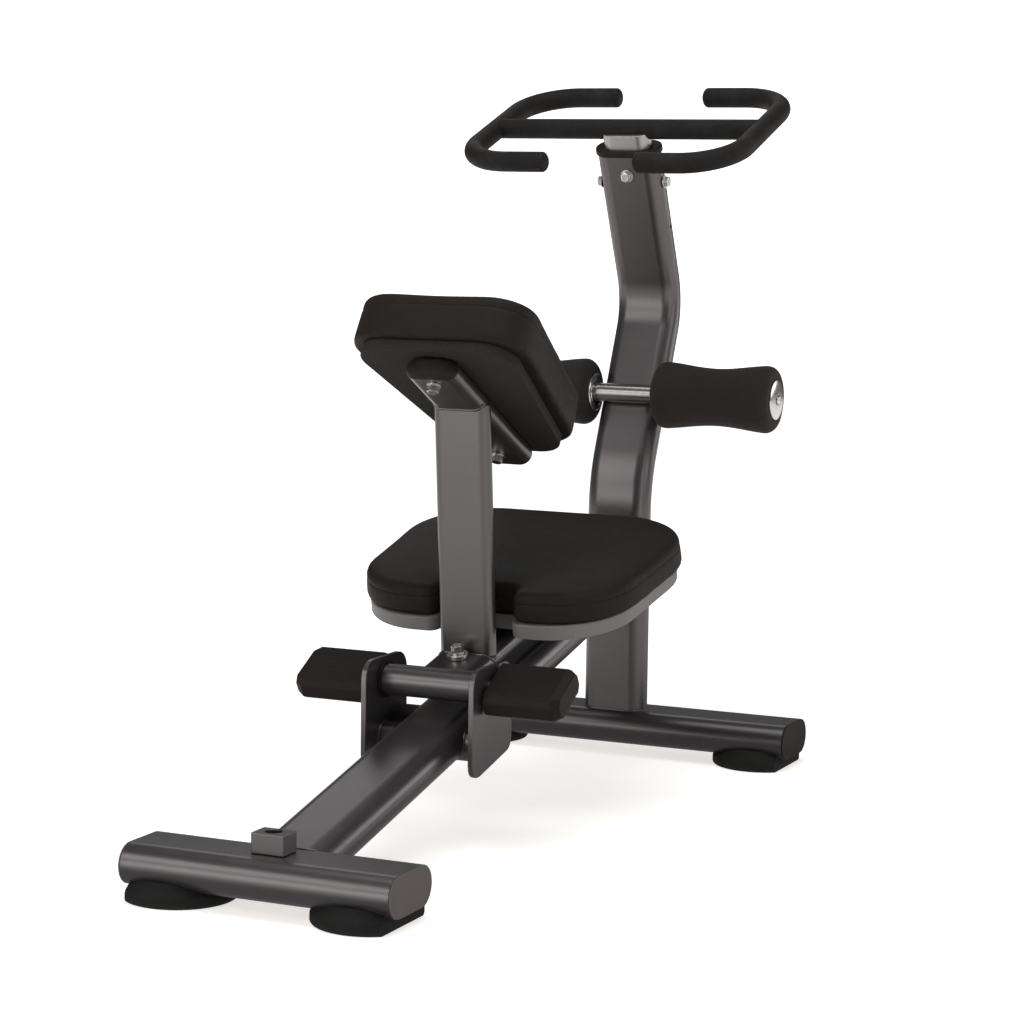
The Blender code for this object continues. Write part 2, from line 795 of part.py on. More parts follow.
def grip_section(scale, level):
    half_width = GRIP_WIDTH / 2 * scale
    half_thickness = GRIP_THICKNESS / 2 * scale
    flat_width = half_width - GRIP_CHAMFER * scale
    flat_thickness = half_thickness - GRIP_CHAMFER * scale
    corners = []
    for x_sign, y_sign in ((1, 1), (-1, 1), (-1, -1), (1, -1)):
        wide = (x_sign * half_width, y_sign * flat_thickness, GRIP_ROUNDING * scale)
        high = (x_sign * flat_width, y_sign * half_thickness, GRIP_ROUNDING * scale)
        corners.extend((wide, high) if x_sign == y_sign else (high, wide))
    return [(x, y, level) for x, y in rounded(corners)]


def foot_grip(side, sign):
    """A chamfered flat grip, tilted so that its front edge is higher, bored for the shaft."""
    item = lofted("foot_grip_" + side, [
        grip_section(1.0, GRIP_START),
        grip_section(1.0, GRIP_END - GRIP_TAPER),
        grip_section(GRIP_END_SCALE, GRIP_END),
    ])
    bore = cylinder(f"grip_{side}_bore", SHAFT_RADIUS + GAP, 0.0, GRIP_END - GRIP_WALL + GAP)
    for piece in (item, bore):
        piece.data.transform(Matrix.Rotation(sign * GRIP_TILT, 4, "Z"))
        place(piece, (0.0, PIVOT_FORWARD, PIVOT_HEIGHT), (QUARTER, 0.0, sign * QUARTER))
    return finish(cut(item, bore), "black_plastic")


def rest_bumper():
    """The rubber rest between the rail and the beam."""
    height = BEAM_RISE - GAP
    top_radius = BUMPER_RADIUS - BUMPER_TAPER
    profile = [
        (0.0, height),
        (top_radius - BUMPER_ROUNDING, height),
        (top_radius, height - BUMPER_ROUNDING),
        (BUMPER_RADIUS, GAP),
        (0.0, GAP),
    ]
    item = place(turned("rest_bumper", profile), over_rail(BUMPER_FORWARD, 0.0), aim(QUARTER + SLOPE))
    return finish(item, "rubber")


# Upright, handlebar and leg rollers


def upright_path(below, above):
    """The upright's centre line in the side plane, run on past both of its ends."""
    top = upright_top(-above)
    corner = upper_corner()
    return bent([
        (UPRIGHT_FORWARD, BAR_TOP - below, 0.0),
        (UPRIGHT_FORWARD, LOWER_BEND_HEIGHT, LOWER_BEND_RADIUS),
        (corner.y, corner.z, UPPER_BEND_RADIUS),
        (top.y, top.z, 0.0),
    ])


def turned_section(flat, depth, inset=0.0):
    """The tube's section with its flats along Y."""
    return [(y, x) for x, y in flat_oval(flat, depth, inset)]


def upright(front_cutter):
    section = turned_section(UPRIGHT_FLAT, UPRIGHT_DEPTH)
    bore_section = turned_section(UPRIGHT_FLAT, UPRIGHT_DEPTH, UPRIGHT_WALL)
    item = swept("upright", upright_path(UPRIGHT_SADDLE, 0.0), section)
    bore = swept("upright_bore", upright_path(UPRIGHT_SADDLE + OVERSHOOT, OVERSHOOT), bore_section)
    for piece in (item, bore):
        place(piece, (0.0, 0.0, 0.0), SIDE_VIEW)
    holes = [cylinder("cable_hole", CABLE_HOLE_RADIUS, 0.0, UPRIGHT_FLAT)]
    place(holes[0], upright_top(CABLE_HOLE_DROP), (0.0, QUARTER, 0.0))
    for name, location, rotation in stem_bolt_places():
        holes.append(place(bolt_hole(name + "_hole"), location, rotation))
    return finish(cut(item, bore, front_cutter, *holes), "graphite")


def stem_bolt_places():
    side = UPRIGHT_FLAT / 2 + UPRIGHT_DEPTH / 2
    side_place = upright_top(SIDE_BOLT_DROP)
    rear_place = upright_top(REAR_BOLT_DROP, -UPRIGHT_DEPTH / 2)
    return [
        ("stem_bolt_rear", rear_place, aim(math.pi + LEAN_BACK)),
        ("stem_bolt_left", side_place - Vector((side, 0.0, 0.0)), (0.0, -QUARTER, 0.0)),
        ("stem_bolt_right", side_place + Vector((side, 0.0, 0.0)), (0.0, QUARTER, 0.0)),
    ]


def stem_bolts():
    reach = UPRIGHT_WALL + OVERLAP / 2
    return [
        finish(place(bolt(name, reach), location, rotation), "zinc")
        for name, location, rotation in stem_bolt_places()
    ]


def stem_collar():
    """The plastic bush at the upright's end: a flange on the end and a sleeve inside it."""
    opening = flat_oval(STEM_FLAT, STEM_DEPTH, -GAP)
    depth = UPRIGHT_DEPTH + 2 * COLLAR_OVERHANG
    flange = extruded("stem_collar", [flat_oval(UPRIGHT_FLAT, depth)], GAP, GAP + COLLAR_HEIGHT)
    soften(flange, COLLAR_EDGE, 1)
    sleeve_outline = flat_oval(UPRIGHT_FLAT, UPRIGHT_DEPTH, UPRIGHT_WALL + PLUG_GAP)
    sleeve = extruded("collar_sleeve", [sleeve_outline], -COLLAR_SLEEVE, GAP + OVERLAP)
    hole = extruded("collar_hole", [opening], -COLLAR_SLEEVE - OVERSHOOT, COLLAR_HEIGHT + OVERSHOOT)
    item = cut(join(flange, sleeve), hole)
    return finish(place(item, upright_top(0.0), aim(QUARTER + LEAN_BACK)), "black_plastic")


def stem():
    """The silver tube from inside the upright to the handlebar's cross tube."""
    reach = STEM_ABOVE_UPRIGHT / math.cos(LEAN_BACK)
    outlines = [flat_oval(STEM_FLAT, STEM_DEPTH), flat_oval(STEM_FLAT, STEM_DEPTH, STEM_WALL)]
    item = extruded("stem", outlines, -STEM_INSERTION, reach)
    place(item, upright_top(0.0), aim(QUARTER + LEAN_BACK))
    crossing = cylinder("stem_cutter", BAR_RADIUS + GAP, -HANDLE_REACH, HANDLE_REACH)
    place(crossing, bar_place(), (0.0, QUARTER, 0.0))
    return finish(cut(item, crossing), "silver")


def handle_path(run_on=0.0):
    half = HANDLE_DEPTH / 2
    end = HANDLE_END + HANDLE_DOME - run_on
    return bent([
        (end, -half, 0.0),
        (HANDLE_REACH, -half, HANDLE_BEND),
        (HANDLE_REACH, half, HANDLE_BEND),
        (end, half, 0.0),
    ])


def handle_solid(name, sign, radius, run_on=0.0, sides=FEWEST_FACETS):
    path = [(sign * x, y) for x, y in handle_path(run_on)]
    item = rod(name, path, radius, sides)
    return place(item, bar_place(), (HANDLE_TILT, 0.0, 0.0))


def handle_plug(name, sign, end):
    """A domed plug in one end of a handle."""
    bore = BAR_RADIUS - BAR_WALL - PLUG_GAP
    turns = [QUARTER * step / DOME_STEPS for step in range(DOME_STEPS)]
    profile = [(BAR_RADIUS * math.sin(turn), HANDLE_DOME * math.cos(turn)) for turn in turns]
    profile += [
        (BAR_RADIUS, GAP),
        (bore, GAP),
        (bore, -HANDLE_PLUG),
        (0.0, -HANDLE_PLUG),
    ]
    item = turned(name, profile)
    arm = bar_place() + along(HANDLE_TILT) * end * HANDLE_DEPTH / 2
    arm.x = sign * (HANDLE_END + HANDLE_DOME)
    return finish(place(item, arm, (0.0, -sign * QUARTER, 0.0)), "black_plastic")


def handlebar():
    """Two C-shaped handles, their end plugs and the cross tube between them."""
    made = []
    cutters = []
    for side, sign in (("left", -1), ("right", 1)):
        item = handle_solid("handle_" + side, sign, BAR_RADIUS)
        bore = handle_solid(f"handle_{side}_bore", sign, BAR_RADIUS - BAR_WALL, OVERSHOOT)
        made.append(finish(cut(item, bore), "bar_black"))
        cutters.append(handle_solid(f"handle_{side}_cutter", sign, BAR_RADIUS + GAP))
        for end, direction in (("rear", -1), ("front", 1)):
            made.append(handle_plug(f"handle_plug_{end}_{side}", sign, direction))
    cross = pipe("handlebar_cross_tube", BAR_RADIUS, BAR_RADIUS - BAR_WALL, -HANDLE_REACH, HANDLE_REACH)
    place(cross, bar_place(), (0.0, QUARTER, 0.0))
    made.append(finish(cut(cross, *cutters), "bar_black"))
    return made


def roller_axle():
    item = pipe("roller_axle", AXLE_RADIUS, AXLE_BORE, -AXLE_LENGTH / 2, AXLE_LENGTH / 2)
    return finish(place(item, axle_place(), (0.0, QUARTER, 0.0)), "chrome")


def foam_profile():
    """The foam's outer side, from its outer end to its inner end: rounded lobes and a waist."""
    points = []
    for step in range(FOAM_STEPS + 1):
        part = (1 - math.cos(math.pi * step / FOAM_STEPS)) / 2
        swell = math.cos(math.pi * part) ** 2
        near_end = max(0.0, ROLLER_ROUNDING - ROLLER_LENGTH * min(part, 1 - part))
        rounding = ROLLER_ROUNDING - math.sqrt(ROLLER_ROUNDING ** 2 - near_end ** 2)
        radius = ROLLER_WAIST + (ROLLER_RADIUS - ROLLER_WAIST) * swell - rounding
        points.append((radius, ROLLER_START + ROLLER_LENGTH * (1 - part)))
    return points


def leg_roller(side, sign):
    """A foam roller with its inner hub and outer cap, all of which turn on the axle."""
    rotation = (0.0, sign * QUARTER, 0.0)
    high = ROLLER_START + ROLLER_LENGTH
    inner_end = ROLLER_START
    ends = [(ROLLER_BORE, inner_end), (ROLLER_BORE, high)]
    foam = turned("roller_foam_" + side, foam_profile() + ends, True)
    bore = AXLE_RADIUS + RUNNING_GAP
    sleeve = ROLLER_BORE - GAP
    hub = turned("roller_hub_" + side, [
        (sleeve, inner_end + HUB_SLEEVE),
        (sleeve, inner_end - GAP),
        (HUB_RADIUS - CAP_EDGE, inner_end - GAP),
        (HUB_RADIUS, inner_end - GAP - CAP_EDGE),
        (HUB_RADIUS, inner_end - HUB_FLANGE),
        (bore, inner_end - HUB_FLANGE),
        (bore, inner_end + HUB_SLEEVE),
    ], True)
    cap = turned("roller_cap_" + side, [
        (WASHER_RADIUS, high + END_CAP_DOME),
        (END_CAP_RADIUS * 0.8, high + END_CAP_DOME * 0.75),
        (END_CAP_RADIUS, high + END_CAP_DOME * 0.25),
        (END_CAP_RADIUS, high + GAP),
        (sleeve, high + GAP),
        (sleeve, high - HUB_SLEEVE),
        (bore, high - HUB_SLEEVE),
        (bore, high - OVERLAP),
        (BOLT_SHANK + RUNNING_GAP, high - OVERLAP),
        (BOLT_SHANK + RUNNING_GAP, high + END_CAP_DOME),
    ], True)
    looks = ((foam, "foam"), (hub, "chrome"), (cap, "chrome"))
    return [finish(place(item, axle_place(), rotation), look) for item, look in looks]


def axle_bolt(side, sign):
    """The round-headed bolt that keeps a roller on, screwed into the axle's end."""
    head = [
        (0.0, AXLE_BOLT_HEIGHT),
        (AXLE_BOLT_RADIUS * 0.6, AXLE_BOLT_HEIGHT * 0.85),
        (AXLE_BOLT_RADIUS * 0.95, AXLE_BOLT_HEIGHT * 0.4),
        (AXLE_BOLT_RADIUS, GAP),
        (BOLT_SHANK, GAP),
        (BOLT_SHANK, -3 * BOLT_REACH),
        (0.0, -3 * BOLT_REACH),
    ]
    item = turned("axle_bolt_" + side, head)
    location = axle_place()
    location.x = sign * (ROLLER_START + ROLLER_LENGTH + END_CAP_DOME + RUNNING_GAP)
    return finish(place(item, location, (0.0, sign * QUARTER, 0.0)), "zinc")


# Rocking frame


def pivot_tube():
    end = PLATE_INSIDE - RUNNING_GAP - BUSHING_FLANGE - GAP
    item = pipe("pivot_tube", CROSS_TUBE_RADIUS, CROSS_TUBE_RADIUS - CROSS_TUBE_WALL, -end, end)
    return finish(place(item, (0.0, PIVOT_FORWARD, PIVOT_HEIGHT), (0.0, QUARTER, 0.0)), "graphite")


def bushing(side, sign):
    """A flanged bushing in one end of the pivot tube, running on the shaft."""
    outer = PLATE_INSIDE - RUNNING_GAP
    inner = outer - BUSHING_FLANGE
    sleeve = CROSS_TUBE_RADIUS - CROSS_TUBE_WALL - GAP
    bore = SHAFT_RADIUS + RUNNING_GAP
    item = turned("bushing_" + side, [
        (BUSHING_RADIUS - CAP_EDGE, outer),
        (BUSHING_RADIUS, outer - CAP_EDGE),
        (BUSHING_RADIUS, inner),
        (sleeve, inner),
        (sleeve, inner - BUSHING_SLEEVE),
        (bore, inner - BUSHING_SLEEVE),
        (bore, outer),
    ], True, facets(CROSS_TUBE_RADIUS))
    place(item, (0.0, PIVOT_FORWARD, PIVOT_HEIGHT), (0.0, sign * QUARTER, 0.0))
    return finish(item, "black_plastic")


def beam_centre(forward):
    return over_rail(forward, BEAM_RISE + SEAT_TUBE_DEPTH / 2)


def seat_beam():
    """The beam over the rail, from the pivot tube to its end cap, with the cap and the bolt."""
    middle = (PIVOT_FORWARD + BEAM_FRONT_FORWARD) / 2
    length = (BEAM_FRONT_FORWARD - PIVOT_FORWARD) / math.cos(SLOPE)
    item = tube("seat_beam", SEAT_TUBE_FLAT, SEAT_TUBE_DEPTH, SEAT_TUBE_WALL, length)
    place(item, beam_centre(middle), aim(SLOPE))
    crossing = cylinder("beam_cutter", CROSS_TUBE_RADIUS + GAP, -PLATE_OUTSIDE, PLATE_OUTSIDE)
    place(crossing, (0.0, PIVOT_FORWARD, PIVOT_HEIGHT), (0.0, QUARTER, 0.0))
    bolt_place = over_rail(BEAM_BOLT_FORWARD, BEAM_TOP_RISE)
    hole = place(bolt_hole("beam_bolt_hole"), bolt_place, aim(QUARTER + SLOPE))
    cap = tube_cap("beam_end_cap", SEAT_TUBE_FLAT, SEAT_TUBE_DEPTH, SEAT_TUBE_WALL)
    place(cap, beam_centre(BEAM_FRONT_FORWARD), aim(SLOPE))
    screw = bolt("beam_bolt", BOLT_REACH, TALL_HEAD, TALL_WASHER)
    screw.data.transform(Matrix.Translation((0.0, 0.0, BEAM_SPACER_HEIGHT)))
    screw = join(screw, cylinder("beam_spacer", BEAM_SPACER_RADIUS, GAP, BEAM_SPACER_HEIGHT + 2 * GAP))
    place(screw, bolt_place, aim(QUARTER + SLOPE))
    return [
        finish(cut(item, crossing, hole), "graphite"),
        finish(cap, "black_plastic"),
        finish(screw, "zinc"),
    ]


def seat_place(rise):
    """A point over the seat's middle, this far above the plane of its lower edge."""
    return over_rail(SEAT_FORWARD, BEAM_TOP_RISE + SEAT_ABOVE_BEAM + rise)


def seat_mount(end, sign):
    """A cross bar from the beam's top to the inside of the shell."""
    height = SEAT_ABOVE_BEAM + SHELL_HEIGHT - SHELL_WALL - GAP
    item = block("seat_mount_" + end, MOUNT_LENGTH, MOUNT_WIDTH, GAP, height)
    middle = over_rail(SEAT_FORWARD, BEAM_TOP_RISE)
    place(item, middle + along(SLOPE) * sign * MOUNT_SPACING / 2, aim(QUARTER + SLOPE))
    return finish(soften(item, MOUNT_EDGE, 1), "black_plastic")


def seat_shell():
    """The grey shell under the cushion, open below, with a notch for the post."""
    item = soften(extruded("seat_shell", [seat_outline(0.0)], 0.0, SHELL_HEIGHT), SHELL_EDGE, 1)
    ceiling = SHELL_HEIGHT - SHELL_WALL
    recess = extruded("shell_recess", [seat_outline(SHELL_WALL)], -OVERSHOOT, ceiling)
    for piece in (item, recess):
        place(piece, seat_place(0.0), aim(QUARTER + SLOPE))
    return finish(cut(item, recess), "shell_grey")


def seat_cushion():
    def outline(inset):
        return seat_outline(inset - SEAT_CUSHION_OVERHANG)

    item = cushion("seat_cushion", outline, SEAT_CUSHION_HEIGHT, SEAT_CROWN, SEAT_EDGE)
    place(item, seat_place(SHELL_HEIGHT + GAP), aim(QUARTER + SLOPE))
    return finish(item, "vinyl")


def post():
    """The post between the beam and the pad tube, coped on both."""
    tube_drop = BOARD_THICKNESS + 2 * GAP + SEAT_TUBE_DEPTH / 2
    low = over_rail(POST_FORWARD, BEAM_TOP_RISE - POST_SADDLE)
    direction = along(QUARTER + POST_LEAN)
    tube_middle = under_pad(0.0, tube_drop)
    normal = square_to(-PAD_SLOPE)
    length = (tube_middle - low).dot(normal) / direction.dot(normal)
    item = tube("post", SEAT_TUBE_FLAT, SEAT_TUBE_DEPTH, SEAT_TUBE_WALL, length)
    place(item, low + direction * length / 2, aim(QUARTER + POST_LEAN))
    beam = bar("post_foot_cutter", SEAT_TUBE_FLAT, SEAT_TUBE_DEPTH, SEAT_LENGTH, -GAP)
    place(beam, beam_centre(POST_FORWARD), aim(SLOPE))
    head = bar("post_head_cutter", PAD_TUBE_FLAT, SEAT_TUBE_DEPTH, PAD_LENGTH, -GAP)
    place(head, tube_middle, aim(-PAD_SLOPE))
    return finish(cut(item, beam, head), "graphite")


def domed_cap(name):
    """A cap that rounds off the pad tube's end in plan, with a plug that fills the tube."""
    outline = flat_oval(PAD_TUBE_FLAT, SEAT_TUBE_DEPTH)
    rings = []
    for step in range(DOME_STEPS + 1):
        turn = QUARTER * step / (DOME_STEPS + 1)
        level = GAP + PAD_CAP_DOME * math.sin(turn)
        thin = (1 + math.cos(turn)) / 2
        rings.append([(x * math.cos(turn), y * thin, level) for x, y in outline])
    inside = flat_oval(PAD_TUBE_FLAT, SEAT_TUBE_DEPTH, SEAT_TUBE_WALL + PLUG_GAP)
    return join(lofted(name, rings), extruded(name + "_plug", [inside], -CAP_PLUG, GAP + OVERLAP))


def pad_tube():
    """The tube under the upper pad with its domed end caps and its bolts."""
    drop = BOARD_THICKNESS + 2 * GAP + SEAT_TUBE_DEPTH / 2
    length = PAD_TUBE_FRONT - PAD_TUBE_REAR
    item = tube("pad_tube", PAD_TUBE_FLAT, SEAT_TUBE_DEPTH, SEAT_TUBE_WALL, length)
    place(item, under_pad((PAD_TUBE_FRONT + PAD_TUBE_REAR) / 2, drop), aim(-PAD_SLOPE))
    made = []
    holes = []
    for end, reach in (("rear", PAD_BOLT_REAR), ("front", PAD_BOLT_FRONT)):
        bolt_place = under_pad(reach, drop + SEAT_TUBE_DEPTH / 2)
        rotation = aim(-PAD_SLOPE - QUARTER)
        holes.append(place(bolt_hole(f"pad_bolt_{end}_hole"), bolt_place, rotation))
        screw = bolt("pad_bolt_" + end, BOLT_REACH, TALL_HEAD, TALL_WASHER)
        made.append(finish(place(screw, bolt_place, rotation), "zinc"))
    for end, reach, turn in (("rear", PAD_TUBE_REAR, math.pi), ("front", PAD_TUBE_FRONT, 0.0)):
        cap = place(domed_cap("pad_tube_cap_" + end), under_pad(reach, drop), aim(turn - PAD_SLOPE))
        made.append(finish(cap, "black_plastic"))
    made.append(finish(cut(item, *holes), "graphite"))
    return made


def pad_board():
    item = extruded("pad_board", [pad_outline(BOARD_INSET)], 0.0, BOARD_THICKNESS)
    place(item, under_pad(0.0, BOARD_THICKNESS + GAP), aim(QUARTER - PAD_SLOPE))
    return finish(soften(item, BOARD_EDGE, 1), "board")


def pad_cushion():
    item = cushion("pad_cushion", pad_outline, PAD_HEIGHT, PAD_CROWN, PAD_EDGE)
    return finish(place(item, under_pad(0.0, 0.0), aim(QUARTER - PAD_SLOPE)), "vinyl")


# Assembly


def floor_frame():
    rear, rear_cutter = crossbar("rear", REAR_BAR_LENGTH, 0.0, "cap_grey")
    front, front_cutter = crossbar("front", FRONT_BAR_LENGTH, BAR_SPACING, "black_plastic")
    rail_cutter = bar("rail_cutter", RAIL_FLAT, TUBE_HEIGHT, BAR_SPACING, -GAP)
    place(rail_cutter, over_rail(BAR_SPACING / 2, -TUBE_HEIGHT / 2), aim(SLOPE))
    made = [*rear, *front, main_rail(rear_cutter), socket_block(), pivot_shaft(), rest_bumper()]
    for side, sign in (("left", -1), ("right", 1)):
        made.append(side_plate(side, sign, rail_cutter))
        made.append(stub_tube(side, sign, rail_cutter))
        made.append(foot_grip(side, sign))
    return made + [upright(front_cutter), stem_collar(), stem(), *stem_bolts(), *handlebar()]


def rocking_frame():
    made = [pivot_tube(), bushing("left", -1), bushing("right", 1), *seat_beam(), post()]
    made += [seat_mount("rear", -1), seat_mount("front", 1), seat_shell(), seat_cushion()]
    return made + [*pad_tube(), pad_board(), pad_cushion()]


def add_empty(name, location):
    return place(add_object(name, None), location)


def main():
    clear_scene()
    add_collection("stretching_machine")
    add_collection("cutters").hide_render = True
    machine = add_empty("machine", (0.0, 0.0, 0.0))
    rocker = add_empty("rocker", (0.0, PIVOT_FORWARD, PIVOT_HEIGHT))
    rollers = add_empty("rollers", axle_place())
    attach([rocker, rollers], machine)
    attach(floor_frame() + [roller_axle(), axle_bolt("left", -1), axle_bolt("right", 1)], machine)
    attach(rocking_frame(), rocker)
    attach(leg_roller("left", -1) + leg_roller("right", 1), rollers)
    attach(bpy.data.collections["cutters"].objects[:], machine)
    machine.location.y = (FOOT_RADIUS - machine_front()) / 2


main()
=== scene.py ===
import json
import math

import bmesh
import bpy
import numpy as np
from bpy.props import FloatProperty, FloatVectorProperty, PointerProperty
from mathutils import Matrix, Vector, noise
from mathutils.bvhtree import BVHTree

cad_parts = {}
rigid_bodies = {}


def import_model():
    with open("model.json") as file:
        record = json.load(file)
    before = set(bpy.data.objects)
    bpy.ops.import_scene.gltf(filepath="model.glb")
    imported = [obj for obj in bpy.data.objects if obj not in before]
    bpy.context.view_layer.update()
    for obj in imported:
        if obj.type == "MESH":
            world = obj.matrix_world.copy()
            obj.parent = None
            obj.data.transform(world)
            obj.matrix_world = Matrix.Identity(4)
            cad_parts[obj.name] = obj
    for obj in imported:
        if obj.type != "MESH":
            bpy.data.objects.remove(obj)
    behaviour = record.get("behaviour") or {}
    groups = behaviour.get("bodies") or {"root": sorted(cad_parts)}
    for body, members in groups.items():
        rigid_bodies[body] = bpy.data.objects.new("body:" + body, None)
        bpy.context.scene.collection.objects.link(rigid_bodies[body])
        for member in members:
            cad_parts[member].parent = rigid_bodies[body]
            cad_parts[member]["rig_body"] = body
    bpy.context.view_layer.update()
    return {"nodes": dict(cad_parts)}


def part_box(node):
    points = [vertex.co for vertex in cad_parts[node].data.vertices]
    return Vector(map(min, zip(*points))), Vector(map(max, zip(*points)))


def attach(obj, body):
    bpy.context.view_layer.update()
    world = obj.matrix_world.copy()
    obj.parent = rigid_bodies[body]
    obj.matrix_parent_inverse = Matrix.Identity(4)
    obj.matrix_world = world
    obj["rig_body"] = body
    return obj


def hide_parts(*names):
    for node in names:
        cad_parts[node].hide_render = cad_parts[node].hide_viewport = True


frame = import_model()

bl_info = {
    "name": "Stretching machine",
    "version": (1, 0, 0),
    "blender": (4, 5, 0),
    "location": "3D View > Sidebar > Stretching machine",
    "description": "Dresses the packed model of a stretching machine with finished pieces and materials",
    "category": "Object",
}

QUARTER = math.pi / 2
RIGHT = Vector((1.0, 0.0, 0.0))
SIDES = (("left", -1), ("right", 1))
ENDS = (("rear", -1), ("front", 1))


def middle(node):
    low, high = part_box(node)
    return (low + high) / 2


# Places that the frame gives
REAR_BAR = middle("rear_crossbar")
FRONT_BAR = middle("front_crossbar")
PIVOT = middle("pivot_tube")
AXLE = middle("roller_axle")
HANDLEBAR = middle("handlebar_cross_tube")

# Tubes: the width of the flats, the depth across them
FRAME_TUBE = (0.067, 0.0598)
RAIL_TUBE = (0.0595, 0.0598)
UPRIGHT_TUBE = (0.0626, 0.052)
SEAT_TUBE = (0.061, 0.032)
PAD_TUBE = (0.0545, 0.032)
STEM_TUBE = (0.045, 0.042)
COLLAR_TUBE = (0.0626, 0.0584)

# Round tubes and shafts
HANDLE_RADIUS = 0.0175
CROSS_RADIUS = 0.0245
STUB_START = 0.030
SHAFT_RADIUS = 0.012
AXLE_RADIUS = 0.0165

# Angles in the side plane
RAIL_SLOPE = math.radians(13.0)
LEAN_FORWARD = math.radians(23.5)
LEAN_BACK = math.radians(24.3)
POST_LEAN = math.radians(4.8)
PAD_SLOPE = math.radians(28.3)
HANDLE_TILT = math.radians(20.0)
GRIP_TILT = math.radians(29.0)

# Distances forward of the rear crossbar's centre line, and heights
UPRIGHT_FORWARD = 1.235
LOWER_BEND = (0.480, 0.25)
UPPER_BEND = (0.792, 0.12)
UPRIGHT_TOP = 1.0575
BAR_UNDERSIDE = 0.0188
RAIL_FORWARD = (0.012, UPRIGHT_FORWARD - 0.01)
RAIL_TOP = 0.0700
REST_FORWARD = 0.950
BEAM_RISE = 0.0265
BEAM_TOP = BEAM_RISE + SEAT_TUBE[1]
BEAM_BOLT_FORWARD = 0.5815
BEAM_END = 1.0
POST_FORWARD = 0.620

# Seat and pad
SEAT_FORWARD = 0.8283
SEAT_LENGTH = 0.3963
SEAT_WIDTHS = (0.4414, 0.4812)
SEAT_CORNERS = (0.122, 0.132)
SEAT_ABOVE_BEAM = 0.0150
SHELL_HEIGHT = 0.0241
SHELL_WALL = 0.004
NOTCH_WIDTH, NOTCH_DEPTH = 0.126, 0.035
NOTCH_INNER, NOTCH_OUTER = 0.014, 0.018
PAD_PLACE = (0.629, 0.6765)
PAD_LENGTH = 0.394
PAD_WIDTHS = (0.294, 0.197)
PAD_CORNERS = (0.064, 0.062)
BOARD_THICKNESS = 0.0175
PAD_TUBE_ENDS = (-0.151, 0.1605)

# Cushions: height, radius of the upper edge, height of the seam
SEAT_CUSHION = (0.0520, 0.013, 0.031)
PAD_CUSHION = (0.0785, 0.008, 0.056)

# Bolts: head height and washer height, and their distances from the upright's top and the pad's middle
STEM_BOLT = (0.0075, 0.0016)
FRAME_BOLT = (0.0105, 0.0035)
REAR_STEM_BOLT_DROP = 0.034
SIDE_STEM_BOLT_DROP = 0.0555
PAD_BOLTS = (("rear", -0.134), ("front", 0.1295))

# Clearance of pieces that touch in reality, and the distance at which points are welded
GAP = 0.0003
MERGE = 0.00002


def length_property(name, description, default, low, high):
    return FloatProperty(
        name=name, description=description, default=default, min=low, max=high, unit="LENGTH"
    )


class MachineSizes(bpy.types.PropertyGroup):
    """Sizes of the details that the scene adds to the frame."""

    weld: length_property("Weld bead", "Radius of the beads where tubes meet", 0.0021, 0.001, 0.004)
    seam: length_property("Seam depth", "Depth of the seam round a cushion's side", 0.0012, 0.0, 0.004)
    swell: length_property("Cushion swell", "How far stuffing may push a cover out", 0.0032, 0.001, 0.016)
    voxel: length_property("Cover mesh", "Spacing of the mesh of an inflated cover", 0.005, 0.004, 0.008)
    rib: length_property("Grip rib", "Spacing of the ribs along the foot grips", 0.0065, 0.003, 0.012)


def colour_property(name, description, default):
    return FloatVectorProperty(
        name=name, description=description, default=default, min=0.0, max=1.0, size=3, subtype="COLOR"
    )


class MachineColours(bpy.types.PropertyGroup):
    """Base colours of the machine's finishes."""

    coat: colour_property("Powder coat", "Paint on the frame's tubes and plates", (0.118, 0.108, 0.109))
    vinyl: colour_property("Vinyl", "Cover of the seat and of the upper pad", (0.0160, 0.0128, 0.0108))
    foam: colour_property("Foam", "Skin of the leg rollers", (0.0150, 0.0122, 0.0106))
    handle: colour_property("Handlebar", "Matt coat of the handlebar", (0.0150, 0.0125, 0.0112))
    plastic: colour_property("Black plastic", "Foot grips, plugs and front caps", (0.0140, 0.0115, 0.0100))
    cap: colour_property("Grey plastic", "End caps of the rear crossbar", (0.092, 0.076, 0.070))
    shell: colour_property("Seat shell", "Moulded shell under the seat", (0.150, 0.136, 0.130))
    rubber: colour_property("Rubber", "Feet and rest", (0.0120, 0.0115, 0.0110))


def colours():
    return bpy.context.scene.machine_colours


def sizes():
    return bpy.context.scene.machine_sizes


# Materials


class Value:
    """A node's output that can stand in a sum."""

    def __init__(self, paint, socket):
        self.paint = paint
        self.socket = socket

    def __add__(self, other):
        return self.paint.sum("ADD", self, other)

    def __sub__(self, other):
        return self.paint.sum("SUBTRACT", self, other)

    def __rsub__(self, other):
        return self.paint.sum("SUBTRACT", other, self)

    def __mul__(self, other):
        return self.paint.sum("MULTIPLY", self, other)

    __radd__ = __add__
    __rmul__ = __mul__


